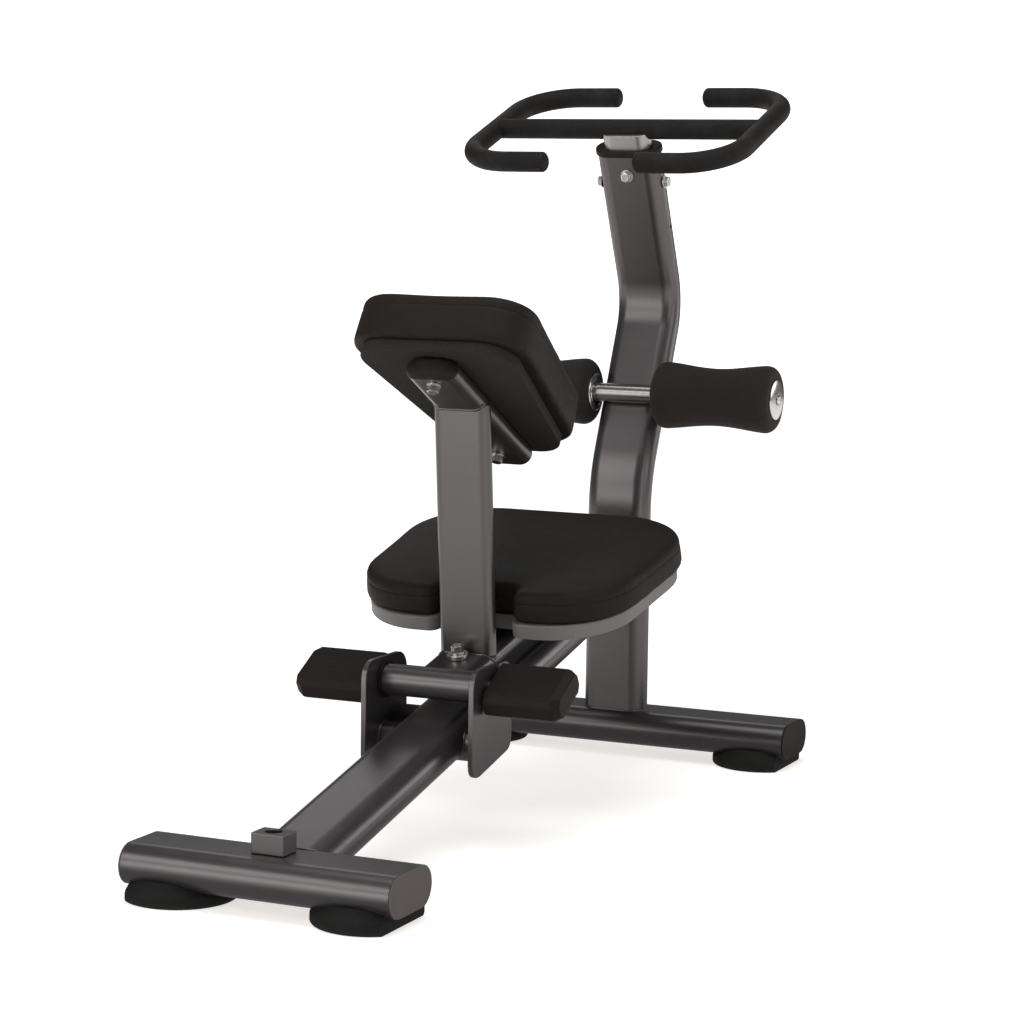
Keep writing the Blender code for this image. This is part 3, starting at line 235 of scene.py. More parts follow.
class Paint:
    """A material in the making: its shader, its coordinates and the nodes between them."""

    def __init__(self, name, metallic=0.0, **constants):
        self.material = bpy.data.materials.new(name)
        self.material.use_nodes = True
        self.tree = self.material.node_tree
        self.shader = self.tree.nodes["Principled BSDF"]
        self.shader.inputs["Metallic"].default_value = metallic
        for socket, value in constants.items():
            self.shader.inputs[socket.replace("_", " ")].default_value = value
        self.place = self.node("TexCoord", output="Object")

    def node(self, kind, settings=None, values=None, output=0):
        made = self.tree.nodes.new("ShaderNode" + kind)
        for name, value in (settings or {}).items():
            setattr(made, name, value)
        for name, value in (values or {}).items():
            self.feed(made.inputs[name], value)
        return Value(self, made.outputs[output])

    def feed(self, socket, value):
        if isinstance(value, Value):
            self.tree.links.new(value.socket, socket)
        else:
            socket.default_value = value

    def sum(self, operation, *values):
        return self.node("Math", {"operation": operation}, dict(enumerate(values)))

    def noise(self, scale, detail=2.0, roughness=0.5, place=None):
        values = {"Vector": place or self.place, "Scale": scale, "Detail": detail, "Roughness": roughness}
        return self.node("TexNoise", None, values)

    def cells(self, scale, feature="F1", place=None):
        return self.node("TexVoronoi", {"feature": feature}, {"Vector": place or self.place, "Scale": scale})

    def local(self, location, rotation, scale=(1.0, 1.0, 1.0)):
        """Coordinates of a frame of the piece's own."""
        values = {"Vector": self.place, "Location": location, "Rotation": rotation}
        turned = self.node("Mapping", {"vector_type": "TEXTURE"}, values)
        return self.node("VectorMath", {"operation": "MULTIPLY"}, {0: turned, 1: scale})

    def part(self, vector, axis):
        return self.node("SeparateXYZ", None, {"Vector": vector}, axis)

    def between(self, value, low, high, to_low=0.0, to_high=1.0):
        values = {"Value": value, "From Min": low, "From Max": high, "To Min": to_low, "To Max": to_high}
        return self.node("MapRange", {"interpolation_type": "SMOOTHSTEP"}, values)

    def blend(self, factor, first, second):
        return self.node("Mix", {"data_type": "RGBA"}, {0: factor, 6: first, 7: second}, 2)

    def shades(self, colour, factor, low, high):
        """The colour, from darker to lighter by the factor."""
        dark = (*(part * low for part in colour), 1.0)
        light = (*(min(1.0, part * high) for part in colour), 1.0)
        self.material.diffuse_color = (*colour, 1.0)
        return self.blend(factor, dark, light)

    def finish(self, colour, roughness, height=None, depth=0.0, strength=0.5):
        self.feed(self.shader.inputs["Base Color"], colour)
        self.feed(self.shader.inputs["Roughness"], roughness)
        if height is not None:
            bump = {"Strength": strength, "Distance": depth, "Height": height}
            self.feed(self.shader.inputs["Normal"], self.node("Bump", None, bump))
        return self.material


def graphite(name="graphite_powder_coat", depth=1.0):
    """Satin powder coat: orange peel, fine metal flake and slow clouds."""
    paint = Paint(name, 0.82, Coat_Weight=0.06, Coat_Roughness=0.2)
    cloud = paint.noise(5.0, 3.0, 0.55)
    peel = paint.noise(380.0)
    flake = paint.cells(1900.0)
    rub = paint.between(paint.noise(34.0, 4.0, 0.62), 0.52, 0.78)
    tone = cloud * 0.55 + flake * 0.30 + rub * 0.12
    # A depth below 1 darkens the whole coat as painted shade.
    colour = paint.shades([part * depth for part in colours().coat], tone, 0.80, 1.22)
    roughness = 0.255 + cloud * 0.07 + peel * 0.05 + rub * 0.05
    return paint.finish(colour, roughness, peel * 0.8 + flake * 0.2, 0.0003, 0.35)


def front_bar_painted_shade():
    """The coat on the front crossbar, darkened all over as painted shade."""
    return graphite("front_crossbar_coat_painted_shade", 0.72)


def bar_black():
    """Matt black coat with a leathery grain."""
    paint = Paint("handle_coat", Specular_IOR_Level=0.14)
    grain = paint.cells(720.0, "DISTANCE_TO_EDGE")
    fine = paint.noise(900.0)
    worn = paint.between(paint.noise(22.0, 3.0, 0.6), 0.45, 0.75)
    colour = paint.shades(colours().handle, worn * 0.7 + fine * 0.3, 0.75, 1.45)
    roughness = 0.50 + fine * 0.14 - worn * 0.06
    return paint.finish(colour, roughness, paint.between(grain, 0.0, 0.25) + fine * 0.4, 0.0003)


def black_plastic():
    """Moulded plastic with a fine spark-eroded grain."""
    paint = Paint("moulded_black_plastic", Specular_IOR_Level=0.12)
    grain = paint.noise(1300.0, 3.0, 0.6)
    cloud = paint.noise(30.0, 3.0, 0.6)
    colour = paint.shades(colours().plastic, cloud * 0.6 + grain * 0.4, 0.75, 1.5)
    return paint.finish(colour, 0.40 + grain * 0.16 + cloud * 0.06, grain, 0.00025)


def cap_grey():
    """Grey-brown moulded plastic of the rear caps."""
    paint = Paint("moulded_grey_plastic")
    grain = paint.noise(1100.0, 3.0, 0.6)
    cloud = paint.noise(26.0, 3.0, 0.6)
    colour = paint.shades(colours().cap, cloud * 0.6 + grain * 0.4, 0.82, 1.20)
    return paint.finish(colour, 0.44 + grain * 0.14, grain, 0.00025)


def rubber():
    """Matt rubber with a little dust where it nears the floor."""
    paint = Paint("foot_rubber", Specular_IOR_Level=0.15)
    grain = paint.noise(800.0, 3.0, 0.65)
    height = paint.part(paint.place, 2)
    patch = paint.noise(55.0, 4.0, 0.6)
    dust = paint.between(height, 0.012, 0.0, 0.0, 0.6) * patch + paint.between(patch, 0.5, 0.8) * 0.25
    colour = paint.shades(colours().rubber, dust + grain * 0.25, 0.8, 2.4)
    return paint.finish(colour, 0.62 + grain * 0.16 + dust * 0.1, grain, 0.0004, 0.6)


def vinyl_of(name, matrix, slope, seam):
    """Grained vinyl with a sewn seam line round its side band, in the cushion's own frame."""
    paint = Paint(name, Specular_IOR_Level=0.10)
    own = paint.local(tuple(matrix.translation), (slope, 0.0, 0.0))
    pebble = paint.cells(620.0, "DISTANCE_TO_EDGE", own)
    fine = paint.noise(1500.0, place=own)
    crease = paint.noise(46.0, 5.0, 0.55, own)
    cloud = paint.noise(9.0, 3.0, 0.5, own)
    away = paint.sum("ABSOLUTE", paint.part(own, 2) - seam)
    line = paint.between(away, 0.0012, 0.0002)
    bands = {"wave_type": "BANDS", "bands_direction": "X"}
    length = paint.node("TexWave", bands, {"Vector": own, "Scale": 60.0})
    stitch = paint.between(paint.sum("ABSOLUTE", away - 0.0032), 0.0009, 0.0002)
    stitch = stitch * paint.between(length, 0.35, 0.6)
    tone = cloud * 0.35 + fine * 0.25 + paint.between(pebble, 0.0, 0.3) * 0.25
    colour = paint.shades(colours().vinyl, tone - line * 0.25 + stitch * 0.20, 0.74, 1.40)
    roughness = 0.40 + fine * 0.10 + crease * 0.12 + line * 0.15
    relief = paint.between(pebble, 0.0, 0.22) * 0.5 + crease * 0.5 - line * 1.6 + stitch * 0.5
    return paint.finish(colour, roughness, relief, 0.0006, 0.45)


def foam():
    """Closed-cell foam with a matt, finely pored skin."""
    paint = Paint("roller_foam_skin", Specular_IOR_Level=0.18, Sheen_Weight=0.04, Sheen_Roughness=0.5)
    pores = paint.cells(1000.0)
    fine = paint.noise(600.0, 4.0, 0.65)
    cloud = paint.noise(24.0, 4.0, 0.6)
    colour = paint.shades(colours().foam, cloud * 0.5 + fine * 0.3 + pores * 0.3, 0.7, 1.7)
    return paint.finish(colour, 0.74 + fine * 0.16, pores * 0.6 + fine * 0.7, 0.0007, 0.7)


def shell_grey():
    """Textured grey plastic of the seat shell."""
    paint = Paint("seat_shell_plastic")
    grain = paint.noise(900.0, 3.0, 0.6)
    cloud = paint.noise(14.0, 3.0, 0.6)
    scuff = paint.between(paint.noise(60.0, 5.0, 0.7), 0.62, 0.75)
    colour = paint.shades(colours().shell, cloud * 0.5 + grain * 0.4 + scuff * 0.15, 0.86, 1.15)
    return paint.finish(colour, 0.42 + grain * 0.15 + scuff * 0.08, grain, 0.0003)


def board():
    """Black non-woven cloth stapled over the pad's board."""
    paint = Paint("backing_cloth", Specular_IOR_Level=0.2)
    fibre = paint.noise(1400.0, 5.0, 0.75)
    dimple = paint.cells(420.0)
    colour = paint.shades((0.0200, 0.0180, 0.0165), fibre * 0.6 + dimple * 0.4, 0.6, 1.5)
    return paint.finish(colour, 0.82 + fibre * 0.12, dimple + fibre * 0.6, 0.0005, 0.7)


def chrome():
    """Polished chrome with faint smears."""
    paint = Paint("chrome", 1.0)
    smear = paint.noise(70.0, 4.0, 0.6)
    speck = paint.between(paint.cells(240.0), 0.10, 0.02)
    colour = paint.shades((0.60, 0.59, 0.58), smear, 0.86, 1.08)
    return paint.finish(colour, 0.12 + smear * 0.10 + speck * 0.1, smear, 0.0001, 0.06)


def axle():
    """Duller chrome of the roller axle, with rings where the hubs rub."""
    paint = Paint("axle_chrome", 1.0)
    smear = paint.noise(60.0, 4.0, 0.6)
    rubbed = paint.between(paint.sum("ABSOLUTE", paint.part(paint.place, 0)), 0.050, 0.058)
    colour = paint.shades((0.27, 0.255, 0.245), smear * 0.7 + rubbed * 0.3, 0.88, 1.10)
    return paint.finish(colour, 0.20 + smear * 0.10 + rubbed * 0.08, smear, 0.0001, 0.05)


def zinc():
    """Bright zinc with a crystalline bloom."""
    paint = Paint("zinc_plate", 1.0)
    crystal = paint.cells(700.0)
    smear = paint.noise(260.0, 3.0, 0.6)
    colour = paint.shades((0.66, 0.65, 0.62), crystal * 0.6 + smear * 0.5, 0.72, 1.12)
    return paint.finish(colour, 0.20 + smear * 0.16 + crystal * 0.06, smear + crystal * 0.4, 0.0002, 0.3)


def silver():
    """Satin silver paint, brushed along the stem."""
    paint = Paint("satin_silver", 0.85)
    own = paint.local(tuple(HANDLEBAR), (LEAN_BACK, 0.0, 0.0), (1.0, 1.0, 0.04))
    lines = paint.noise(1500.0, place=own)
    cloud = paint.noise(30.0, 3.0)
    colour = paint.shades((0.40, 0.39, 0.385), lines * 0.6 + cloud * 0.4, 0.82, 1.12)
    return paint.finish(colour, 0.28 + lines * 0.14, lines, 0.0002, 0.3)


def steel():
    """Turned steel of the pivot shaft, with fine rings of the tool."""
    paint = Paint("turned_steel", 1.0)
    rings = paint.noise(2200.0, 1.0, place=paint.local((0.0, 0.0, 0.0), (0.0, 0.0, 0.0), (1.0, 0.02, 0.02)))
    oil = paint.noise(60.0, 3.0, 0.6)
    colour = paint.shades((0.42, 0.41, 0.40), rings * 0.5 + oil * 0.5, 0.75, 1.15)
    return paint.finish(colour, 0.24 + rings * 0.12 + oil * 0.06, rings, 0.0002, 0.3)


def grip():
    """Black plastic with fine ribs along the grip, darker in the grooves between them as painted shade."""
    paint = Paint("ribbed_grip_plastic", Specular_IOR_Level=0.10)
    across = paint.part(paint.local(tuple(PIVOT), (GRIP_TILT, 0.0, 0.0)), 1)
    rib = paint.between(paint.sum("SINE", across * (math.tau / sizes().rib)), -0.9, -0.2)
    grain = paint.noise(1300.0, 3.0, 0.6)
    worn = paint.noise(40.0, 3.0, 0.6)
    # The grooves between the ribs are darkened in colour as painted shade.
    colour = paint.shades(colours().plastic, rib * 0.25 + worn * 0.5 + grain * 0.25, 0.75, 1.3)
    roughness = 0.38 + grain * 0.16 + worn * 0.08
    return paint.finish(colour, roughness, rib + grain * 0.12, 0.0004, 0.3)


FINISHES = (
    graphite, front_bar_painted_shade, bar_black, black_plastic, cap_grey, rubber, foam, shell_grey, board,
    chrome, axle, zinc, silver, steel, grip,
)
MAKERS = {maker.__name__: maker for maker in FINISHES}
LOOKS = {}


def look(name):
    """The shared material of a finish, made the first time it is asked for."""
    if name not in LOOKS:
        LOOKS[name] = MAKERS[name]()
    return LOOKS[name]


# Placing


def along(angle):
    return Vector((0.0, math.cos(angle), math.sin(angle)))


def square_to(angle):
    return along(angle + QUARTER)


def lying(point, angle):
    """Carries local X, Y to X and this angle above +Y in the side plane, at a point."""
    return Matrix.Translation(point) @ Matrix.Rotation(angle, 4, "X")


def facing(point, angle):
    """Carries local Z to this angle above +Y in the side plane, at a point."""
    return lying(point, angle - QUARTER)


def sideways(point, sign=1):
    """Carries local Z to the machine's right, or with -1 to its left."""
    return Matrix.Translation(point) @ Matrix.Rotation(sign * QUARTER, 4, "Y")


def level(point, sign=1):
    """Carries local Z to the machine's right or left, and a tube's flats to the level."""
    turn = Matrix(((0.0, 0.0, sign), (1.0, 0.0, 0.0), (0.0, sign, 0.0)))
    return Matrix.Translation(point) @ turn.to_4x4()


def at_side(x, centre):
    return Vector((x, centre.y, centre.z))


def forward(distance, height):
    return Vector((0.0, REAR_BAR.y + distance, height))


def over_rail(distance, rise):
    return forward(distance, RAIL_TOP + distance * math.tan(RAIL_SLOPE) + rise / math.cos(RAIL_SLOPE))


def under_pad(reach, drop):
    return forward(*PAD_PLACE) + along(-PAD_SLOPE) * reach - square_to(-PAD_SLOPE) * drop


def upright_corner():
    rise = UPPER_BEND[0] - LOWER_BEND[0]
    return forward(UPRIGHT_FORWARD + rise * math.tan(LEAN_FORWARD), UPPER_BEND[0])


def upright_top(drop, beside=0.0):
    reach = (UPRIGHT_TOP - UPPER_BEND[0]) / math.cos(LEAN_BACK)
    direction = along(QUARTER + LEAN_BACK)
    return upright_corner() + direction * (reach - drop) - square_to(QUARTER + LEAN_BACK) * beside


# Meshes


def verts_of(geometry):
    return [item for item in geometry if isinstance(item, bmesh.types.BMVert)]


def edges_of(geometry):
    return [item for item in geometry if isinstance(item, bmesh.types.BMEdge)]


def corners_of(items):
    return list({vert for item in items for vert in item.verts})


def rounded(work, geometry, width, segments=3, affect="EDGES"):
    bmesh.ops.bevel(
        work, geom=geometry, offset=width, offset_type="OFFSET", segments=segments, profile=0.5,
        affect=affect, material=-1, clamp_overlap=True,
    )


def sharp_edges(work, angle=40.0):
    limit = math.radians(angle)
    return [edge for edge in work.edges if edge.is_manifold and edge.calc_face_angle() > limit]


def clean(work):
    bmesh.ops.remove_doubles(work, verts=work.verts, dist=MERGE)
    bmesh.ops.recalc_face_normals(work, faces=work.faces)


def closed(work, ring):
    """Fills a ring of edges with one flat face."""
    bmesh.ops.edgeloop_fill(work, edges=ring)


def oval_ring(work, tube):
    """Edges of a tube's section in the XY plane: two half turns joined by two flats."""
    flat, depth = tube
    ends = []
    for side in (1, -1):
        start = work.verts.new((side * flat / 2, -side * depth / 2, 0.0))
        centre = (side * flat / 2, 0.0, 0.0)
        spun = bmesh.ops.spin(work, geom=[start], cent=centre, axis=(0.0, 0.0, 1.0), angle=math.pi, steps=20)
        ends.append((start, verts_of(spun["geom_last"])[0]))
    work.edges.new((ends[0][1], ends[1][0]))
    work.edges.new((ends[1][1], ends[0][0]))
    return list(work.edges)


def round_ring(work, radius, segments=40):
    made = bmesh.ops.create_circle(work, radius=radius, segments=segments)
    return sorted({edge for vert in made["verts"] for edge in vert.link_edges}, key=lambda edge: edge.index)


def section_ring(work, tube):
    """Edges of a section: an oval tube's flats and depth, or a round one's radius."""
    return oval_ring(work, tube) if isinstance(tube, tuple) else round_ring(work, tube)


def push(work, ring, step):
    """Extrudes a ring of edges by a step and returns the new ring."""
    grown = bmesh.ops.extrude_edge_only(work, edges=ring)["geom"]
    corners = set(verts_of(grown))
    bmesh.ops.translate(work, verts=list(corners), vec=step)
    return [edge for edge in edges_of(grown) if corners.issuperset(edge.verts)]


def swing(work, ring, centre, axis, angle, steps):
    """Spins a ring of edges round a centre and returns the new ring."""
    geometry = corners_of(ring) + ring
    spun = bmesh.ops.spin(work, geom=geometry, cent=centre, axis=axis, angle=angle, steps=steps)
    return edges_of(spun["geom_last"])


def tube_solid(tube, length, edge=0.0):
    """A straight length of tube on Z from height 0, with closed ends."""
    work = bmesh.new()
    ring = section_ring(work, tube)
    closed(work, ring)
    closed(work, push(work, ring, (0.0, 0.0, length)))
    clean(work)
    if edge:
        rounded(work, sharp_edges(work, 60.0), edge)
    return work


def box_solid(width, length, low, high, edge):
    work = bmesh.new()
    bmesh.ops.create_cube(work, size=1.0)
    bmesh.ops.scale(work, verts=work.verts, vec=(width, length, high - low))
    bmesh.ops.translate(work, verts=work.verts, vec=(0.0, 0.0, (low + high) / 2))
    rounded(work, list(work.edges), edge)
    return work


def turned_solid(profile, steps=48, hollow=False):
    """A profile of (radius, height) points turned about Z, and closed on itself if it is hollow."""
    work = bmesh.new()
    corners = [work.verts.new((radius, 0.0, height)) for radius, height in profile]
    pairs = list(zip(corners, corners[1:]))
    if hollow:
        pairs.append((corners[-1], corners[0]))
    edges = [work.edges.new(pair) for pair in pairs]
    bmesh.ops.spin(
        work, geom=corners + edges, cent=(0.0, 0.0, 0.0), axis=(0.0, 0.0, 1.0), angle=math.tau,
        steps=steps, use_merge=True,
    )
    clean(work)
    return work


def raised(profile, height):
    return [(radius, height + rise) for radius, rise in profile]


def eased(points, radius, steps=4):
    """The profile with each inner corner rounded, as a lathe tool would leave it."""
    made = [points[0]]
    for before, here, after in zip(points, points[1:], points[2:]):
        here, into, out = Vector(here), Vector(before) - Vector(here), Vector(after) - Vector(here)
        reach = min(radius, into.length * 0.45, out.length * 0.45)
        start, end = here + into.normalized() * reach, here + out.normalized() * reach
        for step in range(steps + 1):
            part = step / steps
            point = start * (1 - part) ** 2 + here * (2 * part * (1 - part)) + end * part ** 2
            made.append((point.x, point.y))
    made.append(points[-1])
    return made


def flat_outline(work, corners, steps):
    """A flat face whose corners (x, y, radius) are rounded by bevels of its vertices."""
    points = [work.verts.new((x, y, 0.0)) for x, y, _ in corners]
    work.faces.new(points)
    offsets = []
    for index, (x, y, radius) in enumerate(corners):
        here = Vector((x, y))
        before = Vector(corners[index - 1][:2]) - here
        after = Vector(corners[(index + 1) % len(corners)][:2]) - here
        offsets.append(radius / math.tan(before.angle(after) / 2))
    for point, offset in zip(points, offsets):
        rounded(work, [point], offset, steps, "VERTICES")
    return list(work.faces)


def raise_face(work, faces, height):
    """Extrudes faces upward and returns the raised ones."""
    grown = bmesh.ops.extrude_face_region(work, geom=faces)["geom"]
    bmesh.ops.translate(work, verts=verts_of(grown), vec=(0.0, 0.0, height))
    return [item for item in grown if isinstance(item, bmesh.types.BMFace)]


def slab(outline, height):
    """A plate with this outline, from height 0, with sharp edges."""
    work = bmesh.new()
    raise_face(work, flat_outline(work, outline, 12), height)
    clean(work)
    return work


def cut_off(work, place, normal):
    """Cuts away what lies beyond a plane and closes the cut."""
    geometry = [*work.verts, *work.edges, *work.faces]
    cut = bmesh.ops.bisect_plane(work, geom=geometry, plane_co=place, plane_no=normal, clear_outer=True)
    closed(work, edges_of(cut["geom_cut"]))
    clean(work)


def inset(work, face, width, depth=0.0):
    bmesh.ops.inset_region(work, faces=[face], thickness=width, depth=depth, use_even_offset=True)


def join(work, other):
    """Adds a second mesh to the first."""
    mesh = bpy.data.meshes.new("part")
    other.to_mesh(mesh)
    other.free()
    work.from_mesh(mesh)
    bpy.data.meshes.remove(mesh)
    return work


def moved(work, matrix):
    bmesh.ops.transform(work, matrix=matrix, verts=work.verts)
    return work


def in_scene(name, data):
    made = bpy.data.objects.new(name, data)
    bpy.context.scene.collection.objects.link(made)
    return made


def to_object(name, work):
    mesh = bpy.data.meshes.new(name)
    work.to_mesh(mesh)
    work.free()
    return in_scene(name, mesh)


def final_mesh(item):
    """The mesh that an object's curve or modifiers make."""
    bpy.context.view_layer.update()
    return bpy.data.meshes.new_from_object(item.evaluated_get(bpy.context.evaluated_depsgraph_get()))


def applied(piece):
    """Applies the piece's modifiers."""
    mesh, old = final_mesh(piece), piece.data
    piece.modifiers.clear()
    piece.data = mesh
    bpy.data.meshes.remove(old)


def combined(work, other, operation):
    """Cuts a solid out of a mesh, or keeps what the two share."""
    made, tool = to_object("kept", work), to_object("tool", other)
    change = made.modifiers.new("change", "BOOLEAN")
    change.operation = operation
    change.solver = "EXACT"
    change.object = tool
    applied(made)
    result = bmesh.new()
    result.from_mesh(made.data)
    for item in (made, tool):
        bpy.data.objects.remove(item, do_unlink=True)
    clean(result)
    return result


def shade(piece, material, angle=180.0, weighted=False):
    piece.data.materials.clear()
    piece.data.materials.append(material)
    piece.data.shade_smooth()
    piece.data.set_sharp_from_angle(angle=math.radians(angle))
    if weighted:
        normals = piece.modifiers.new("normals", "WEIGHTED_NORMAL")
        normals.keep_sharp = True


def stand_in(piece, node):
    """Puts a piece on its node's body and in the node's stead."""
    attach(piece, frame["nodes"][node]["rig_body"])
    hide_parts(node)


def finished(node, work, slot, place=None, material=None, angle=34.0, weighted=True):
    """The piece that stands for a node of the frame, in its finish and on its body."""
    if place is not None:
        moved(work, place)
    piece = to_object(node + "_finished", work)
    shade(piece, material or look(slot), angle, weighted)
    stand_in(piece, node)
    return piece


def merged_copy(node):
    """A copy of a node's mesh with its points welded and its flat faces made whole."""
    work = bmesh.new()
    work.from_mesh(frame["nodes"][node].data)
    bmesh.ops.remove_doubles(work, verts=work.verts, dist=MERGE)
    limit = math.radians(0.5)
    bmesh.ops.dissolve_limit(work, angle_limit=limit, verts=work.verts, edges=work.edges)
    return work


# Welds


def ring_points(tube, matrix):
    """Points round a tube's section, in order, carried to their place."""
    work = bmesh.new()
    long_edges = [edge for edge in section_ring(work, tube) if edge.calc_length() > 0.01]
    bmesh.ops.subdivide_edges(work, edges=long_edges, cuts=16)
    points = sorted((vert.co.copy() for vert in work.verts), key=lambda point: math.atan2(point.y, point.x))
    work.free()
    return [matrix @ point for point in points]


def weld_path(tube, matrix, direction, target):
    """Where the outside of a tube meets the target when it is run on in a direction."""
    mesh = bpy.data.objects[target + "_finished"].data
    faces = [tuple(face.vertices) for face in mesh.polygons]
    tree = BVHTree.FromPolygons([vert.co for vert in mesh.vertices], faces)
    hits = [tree.ray_cast(point, direction, 0.6)[0] for point in ring_points(tube, matrix)]
    return [hit for hit in hits if hit is not None]


def weld_piece(name, body, paths):
    """All the weld beads of one body: round beads with a ripple."""
    data = bpy.data.curves.new(name, "CURVE")
    data.dimensions = "3D"
    data.bevel_depth = sizes().weld
    data.bevel_resolution = 3
    ripple, ripples_per_metre = 0.22, 190.0
    for path in paths:
        spline = data.splines.new("POLY")
        spline.points.add(len(path) - 1)
        for point, place in zip(spline.points, path):
            point.co = (*place, 1.0)
            point.radius = 1.0 + ripple * noise.noise(place * ripples_per_metre)
        spline.use_cyclic_u = True
    curve = in_scene(name + "_curve", data)
    mesh = final_mesh(curve)
    bpy.data.objects.remove(curve, do_unlink=True)
    mesh.name = name
    piece = in_scene(name, mesh)
    shade(piece, look("graphite"))
    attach(piece, body)


def frame_welds():
    """The beads of the rail, the upright and the stub tubes."""
    slope = along(RAIL_SLOPE)
    middle_rise = -RAIL_TUBE[1] / 2
    rail_start = facing(over_rail(0.16, middle_rise), RAIL_SLOPE)
    rail_end = facing(over_rail(1.05, middle_rise), RAIL_SLOPE)
    standing = Matrix.Translation(forward(UPRIGHT_FORWARD, 0.2))
    paths = [
        weld_path(RAIL_TUBE, rail_start, -slope, "rear_crossbar"),
        weld_path(RAIL_TUBE, rail_end, slope, "upright"),
        weld_path(UPRIGHT_TUBE, standing, Vector((0.0, 0.0, -1.0)), "front_crossbar"),
    ]
    for side, sign in SIDES:
        ring = stub_axis(side, sign, 0.06)
        paths.append(weld_path(CROSS_RADIUS, ring, RIGHT * sign, "side_plate_" + side))
        paths.append(weld_path(CROSS_RADIUS, ring, RIGHT * -sign, "main_rail"))
    weld_piece("frame_welds", "frame", paths)


def rocker_welds():
    """The beads of the seat beam and the post."""
    beam_ring = facing(over_rail(0.57, BEAM_RISE + SEAT_TUBE[1] / 2), RAIL_SLOPE)
    lean = along(QUARTER + POST_LEAN)
    post_ring = facing(over_rail(POST_FORWARD, 0.0) + lean * 0.25, QUARTER + POST_LEAN)
    weld_piece("rocker_welds", "rocker", [
        weld_path(SEAT_TUBE, beam_ring, -along(RAIL_SLOPE), "pivot_tube"),
        weld_path(SEAT_TUBE, post_ring, -lean, "seat_beam"),
        weld_path(SEAT_TUBE, post_ring, lean, "pad_tube"),
    ])


# Parts that repeat


def hex_bolt(size, base=0.0):
    """A hexagon head with a chamfered, slightly domed top, on a washer with eased edges."""
    radius, round_radius, washer_radius = 0.0098, 0.0101, 0.0115
    head_height, washer_height = size
    low = base + washer_height
    high = low + head_height
    centre = Matrix.Translation((0.0, 0.0, (low + high) / 2))
    work = bmesh.new()
    bmesh.ops.create_cone(
        work, cap_ends=True, segments=6, radius1=radius, radius2=radius, depth=high - low, matrix=centre
    )
    dome = [(0.0, high - 0.0003), (0.0066, high), (0.0080, high - 0.0003), (round_radius, high - 0.0016),
            (round_radius, low), (0.0, low)]
    work = combined(work, turned_solid(eased(dome, 0.0003, 2)), "INTERSECT")
    rounded(work, sharp_edges(work, 35.0), 0.00035, 2)
    foot = base + 0.0002
    washer = [(0.0, low), (washer_radius, low), (washer_radius, foot), (0.0, foot)]
    return join(work, turned_solid(eased(washer, 0.0005, 3)))


def oval_cap(tube):
    """A flat cap on a tube's end at height 0, with a rounded rim and a shallow dished face."""
    thickness, edge, rim, slope, dish = 0.0027, 0.0010, 0.0030, 0.0008, 0.0005
    work = tube_solid(tube, thickness, edge)
    bmesh.ops.translate(work, verts=work.verts, vec=(0.0, 0.0, GAP))
    top = max(work.faces, key=lambda face: face.calc_center_median().z * 1000 + face.calc_area())
    inset(work, top, rim)
    inset(work, top, slope, -dish)
    return work


def cross_piece(node, centre, section, slot, edge=0.0, turn=sideways, material=None):
    """A tube or shaft across the machine, as long as its node. Returns its two ends."""
    low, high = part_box(node)
    work = tube_solid(section, high.x - low.x, edge)
    finished(node, work, slot, turn(at_side(low.x, centre)), material)
    return low.x, high.x


# Pieces


def floor_frame():
    # The front crossbar's coat is the graphite darkened as painted shade.
    for end, bar, coat, cap_slot in (
        ("rear", REAR_BAR, "graphite", "cap_grey"),
        ("front", FRONT_BAR, "front_bar_painted_shade", "black_plastic"),
    ):
        reach = cross_piece(end + "_crossbar", bar, FRAME_TUBE, "graphite", 0.0004, level, look(coat))
        for (side, sign), face in zip(SIDES, reach):
            cap = oval_cap(FRAME_TUBE)
            finished(f"{end}_end_cap_{side}", cap, cap_slot, level(at_side(face, bar), sign))
    main_rail()
    socket_block()


def main_rail():
    """The sloping rail, with its heel cut off where it meets the rear crossbar."""
    start, end = RAIL_FORWARD
    rail = tube_solid(RAIL_TUBE, (end - start) / math.cos(RAIL_SLOPE))
    moved(rail, facing(over_rail(start, -RAIL_TUBE[1] / 2), RAIL_SLOPE))
    crown_forward, crown_rise, heel_forward = 0.020, 0.03, 0.0455
    crown, heel = forward(crown_forward, REAR_BAR.z + crown_rise), forward(heel_forward, BAR_UNDERSIDE)
    cut_off(rail, crown, (heel - crown).cross(RIGHT))
    finished("main_rail", rail, "graphite")


def socket_block():
    """The block on the rear crossbar, bored from above."""
    low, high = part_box("socket_block")
    edge, mouth, radius, depth = 0.0018, 0.0131, 0.0122, 0.024
    place = Matrix.Translation((0.0, REAR_BAR.y, 0.0))
    block = box_solid(high.x - low.x, high.y - low.y, low.z, high.z, edge)
    bore = [(0.0, 0.01), (mouth, 0.01), (mouth, 0.0001), (radius, -0.0009), (radius, -depth), (0.0, -depth)]
    socket = moved(turned_solid(raised(bore, high.z)), place)
    finished("socket_block", combined(moved(block, place), socket, "DIFFERENCE"), "graphite")


def feet():
    radius, flat_side = 0.083, 0.049
    profile = [(0.0, 0.034), (0.064, 0.034), (0.081, 0.0185), (radius, 0.0145), (radius, 0.0035),
               (0.0800, 0.0), (0.0, 0.0)]
    for end, bar in (("rear", REAR_BAR), ("front", FRONT_BAR)):
        for side, sign in SIDES:
            node = f"{end}_foot_{side}"
            low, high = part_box(node)
            centre = low.x + radius if sign > 0 else high.x - radius
            foot = turned_solid(eased(profile, 0.0022), 96)
            cut_off(foot, RIGHT * sign * flat_side, RIGHT * sign)
            finished(node, foot, "rubber", Matrix.Translation((centre, bar.y, 0.0)), weighted=False)


def outer_end(node):
    """How far a piece reaches from the machine's middle."""
    low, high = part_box(node)
    return max(high.x, -low.x)


def stub_axis(side, sign, start):
    """Carries local Z outward along a stub tube's axis, from this far beside the middle."""
    return sideways((sign * start, PIVOT.y, middle("stub_tube_" + side).z), sign)


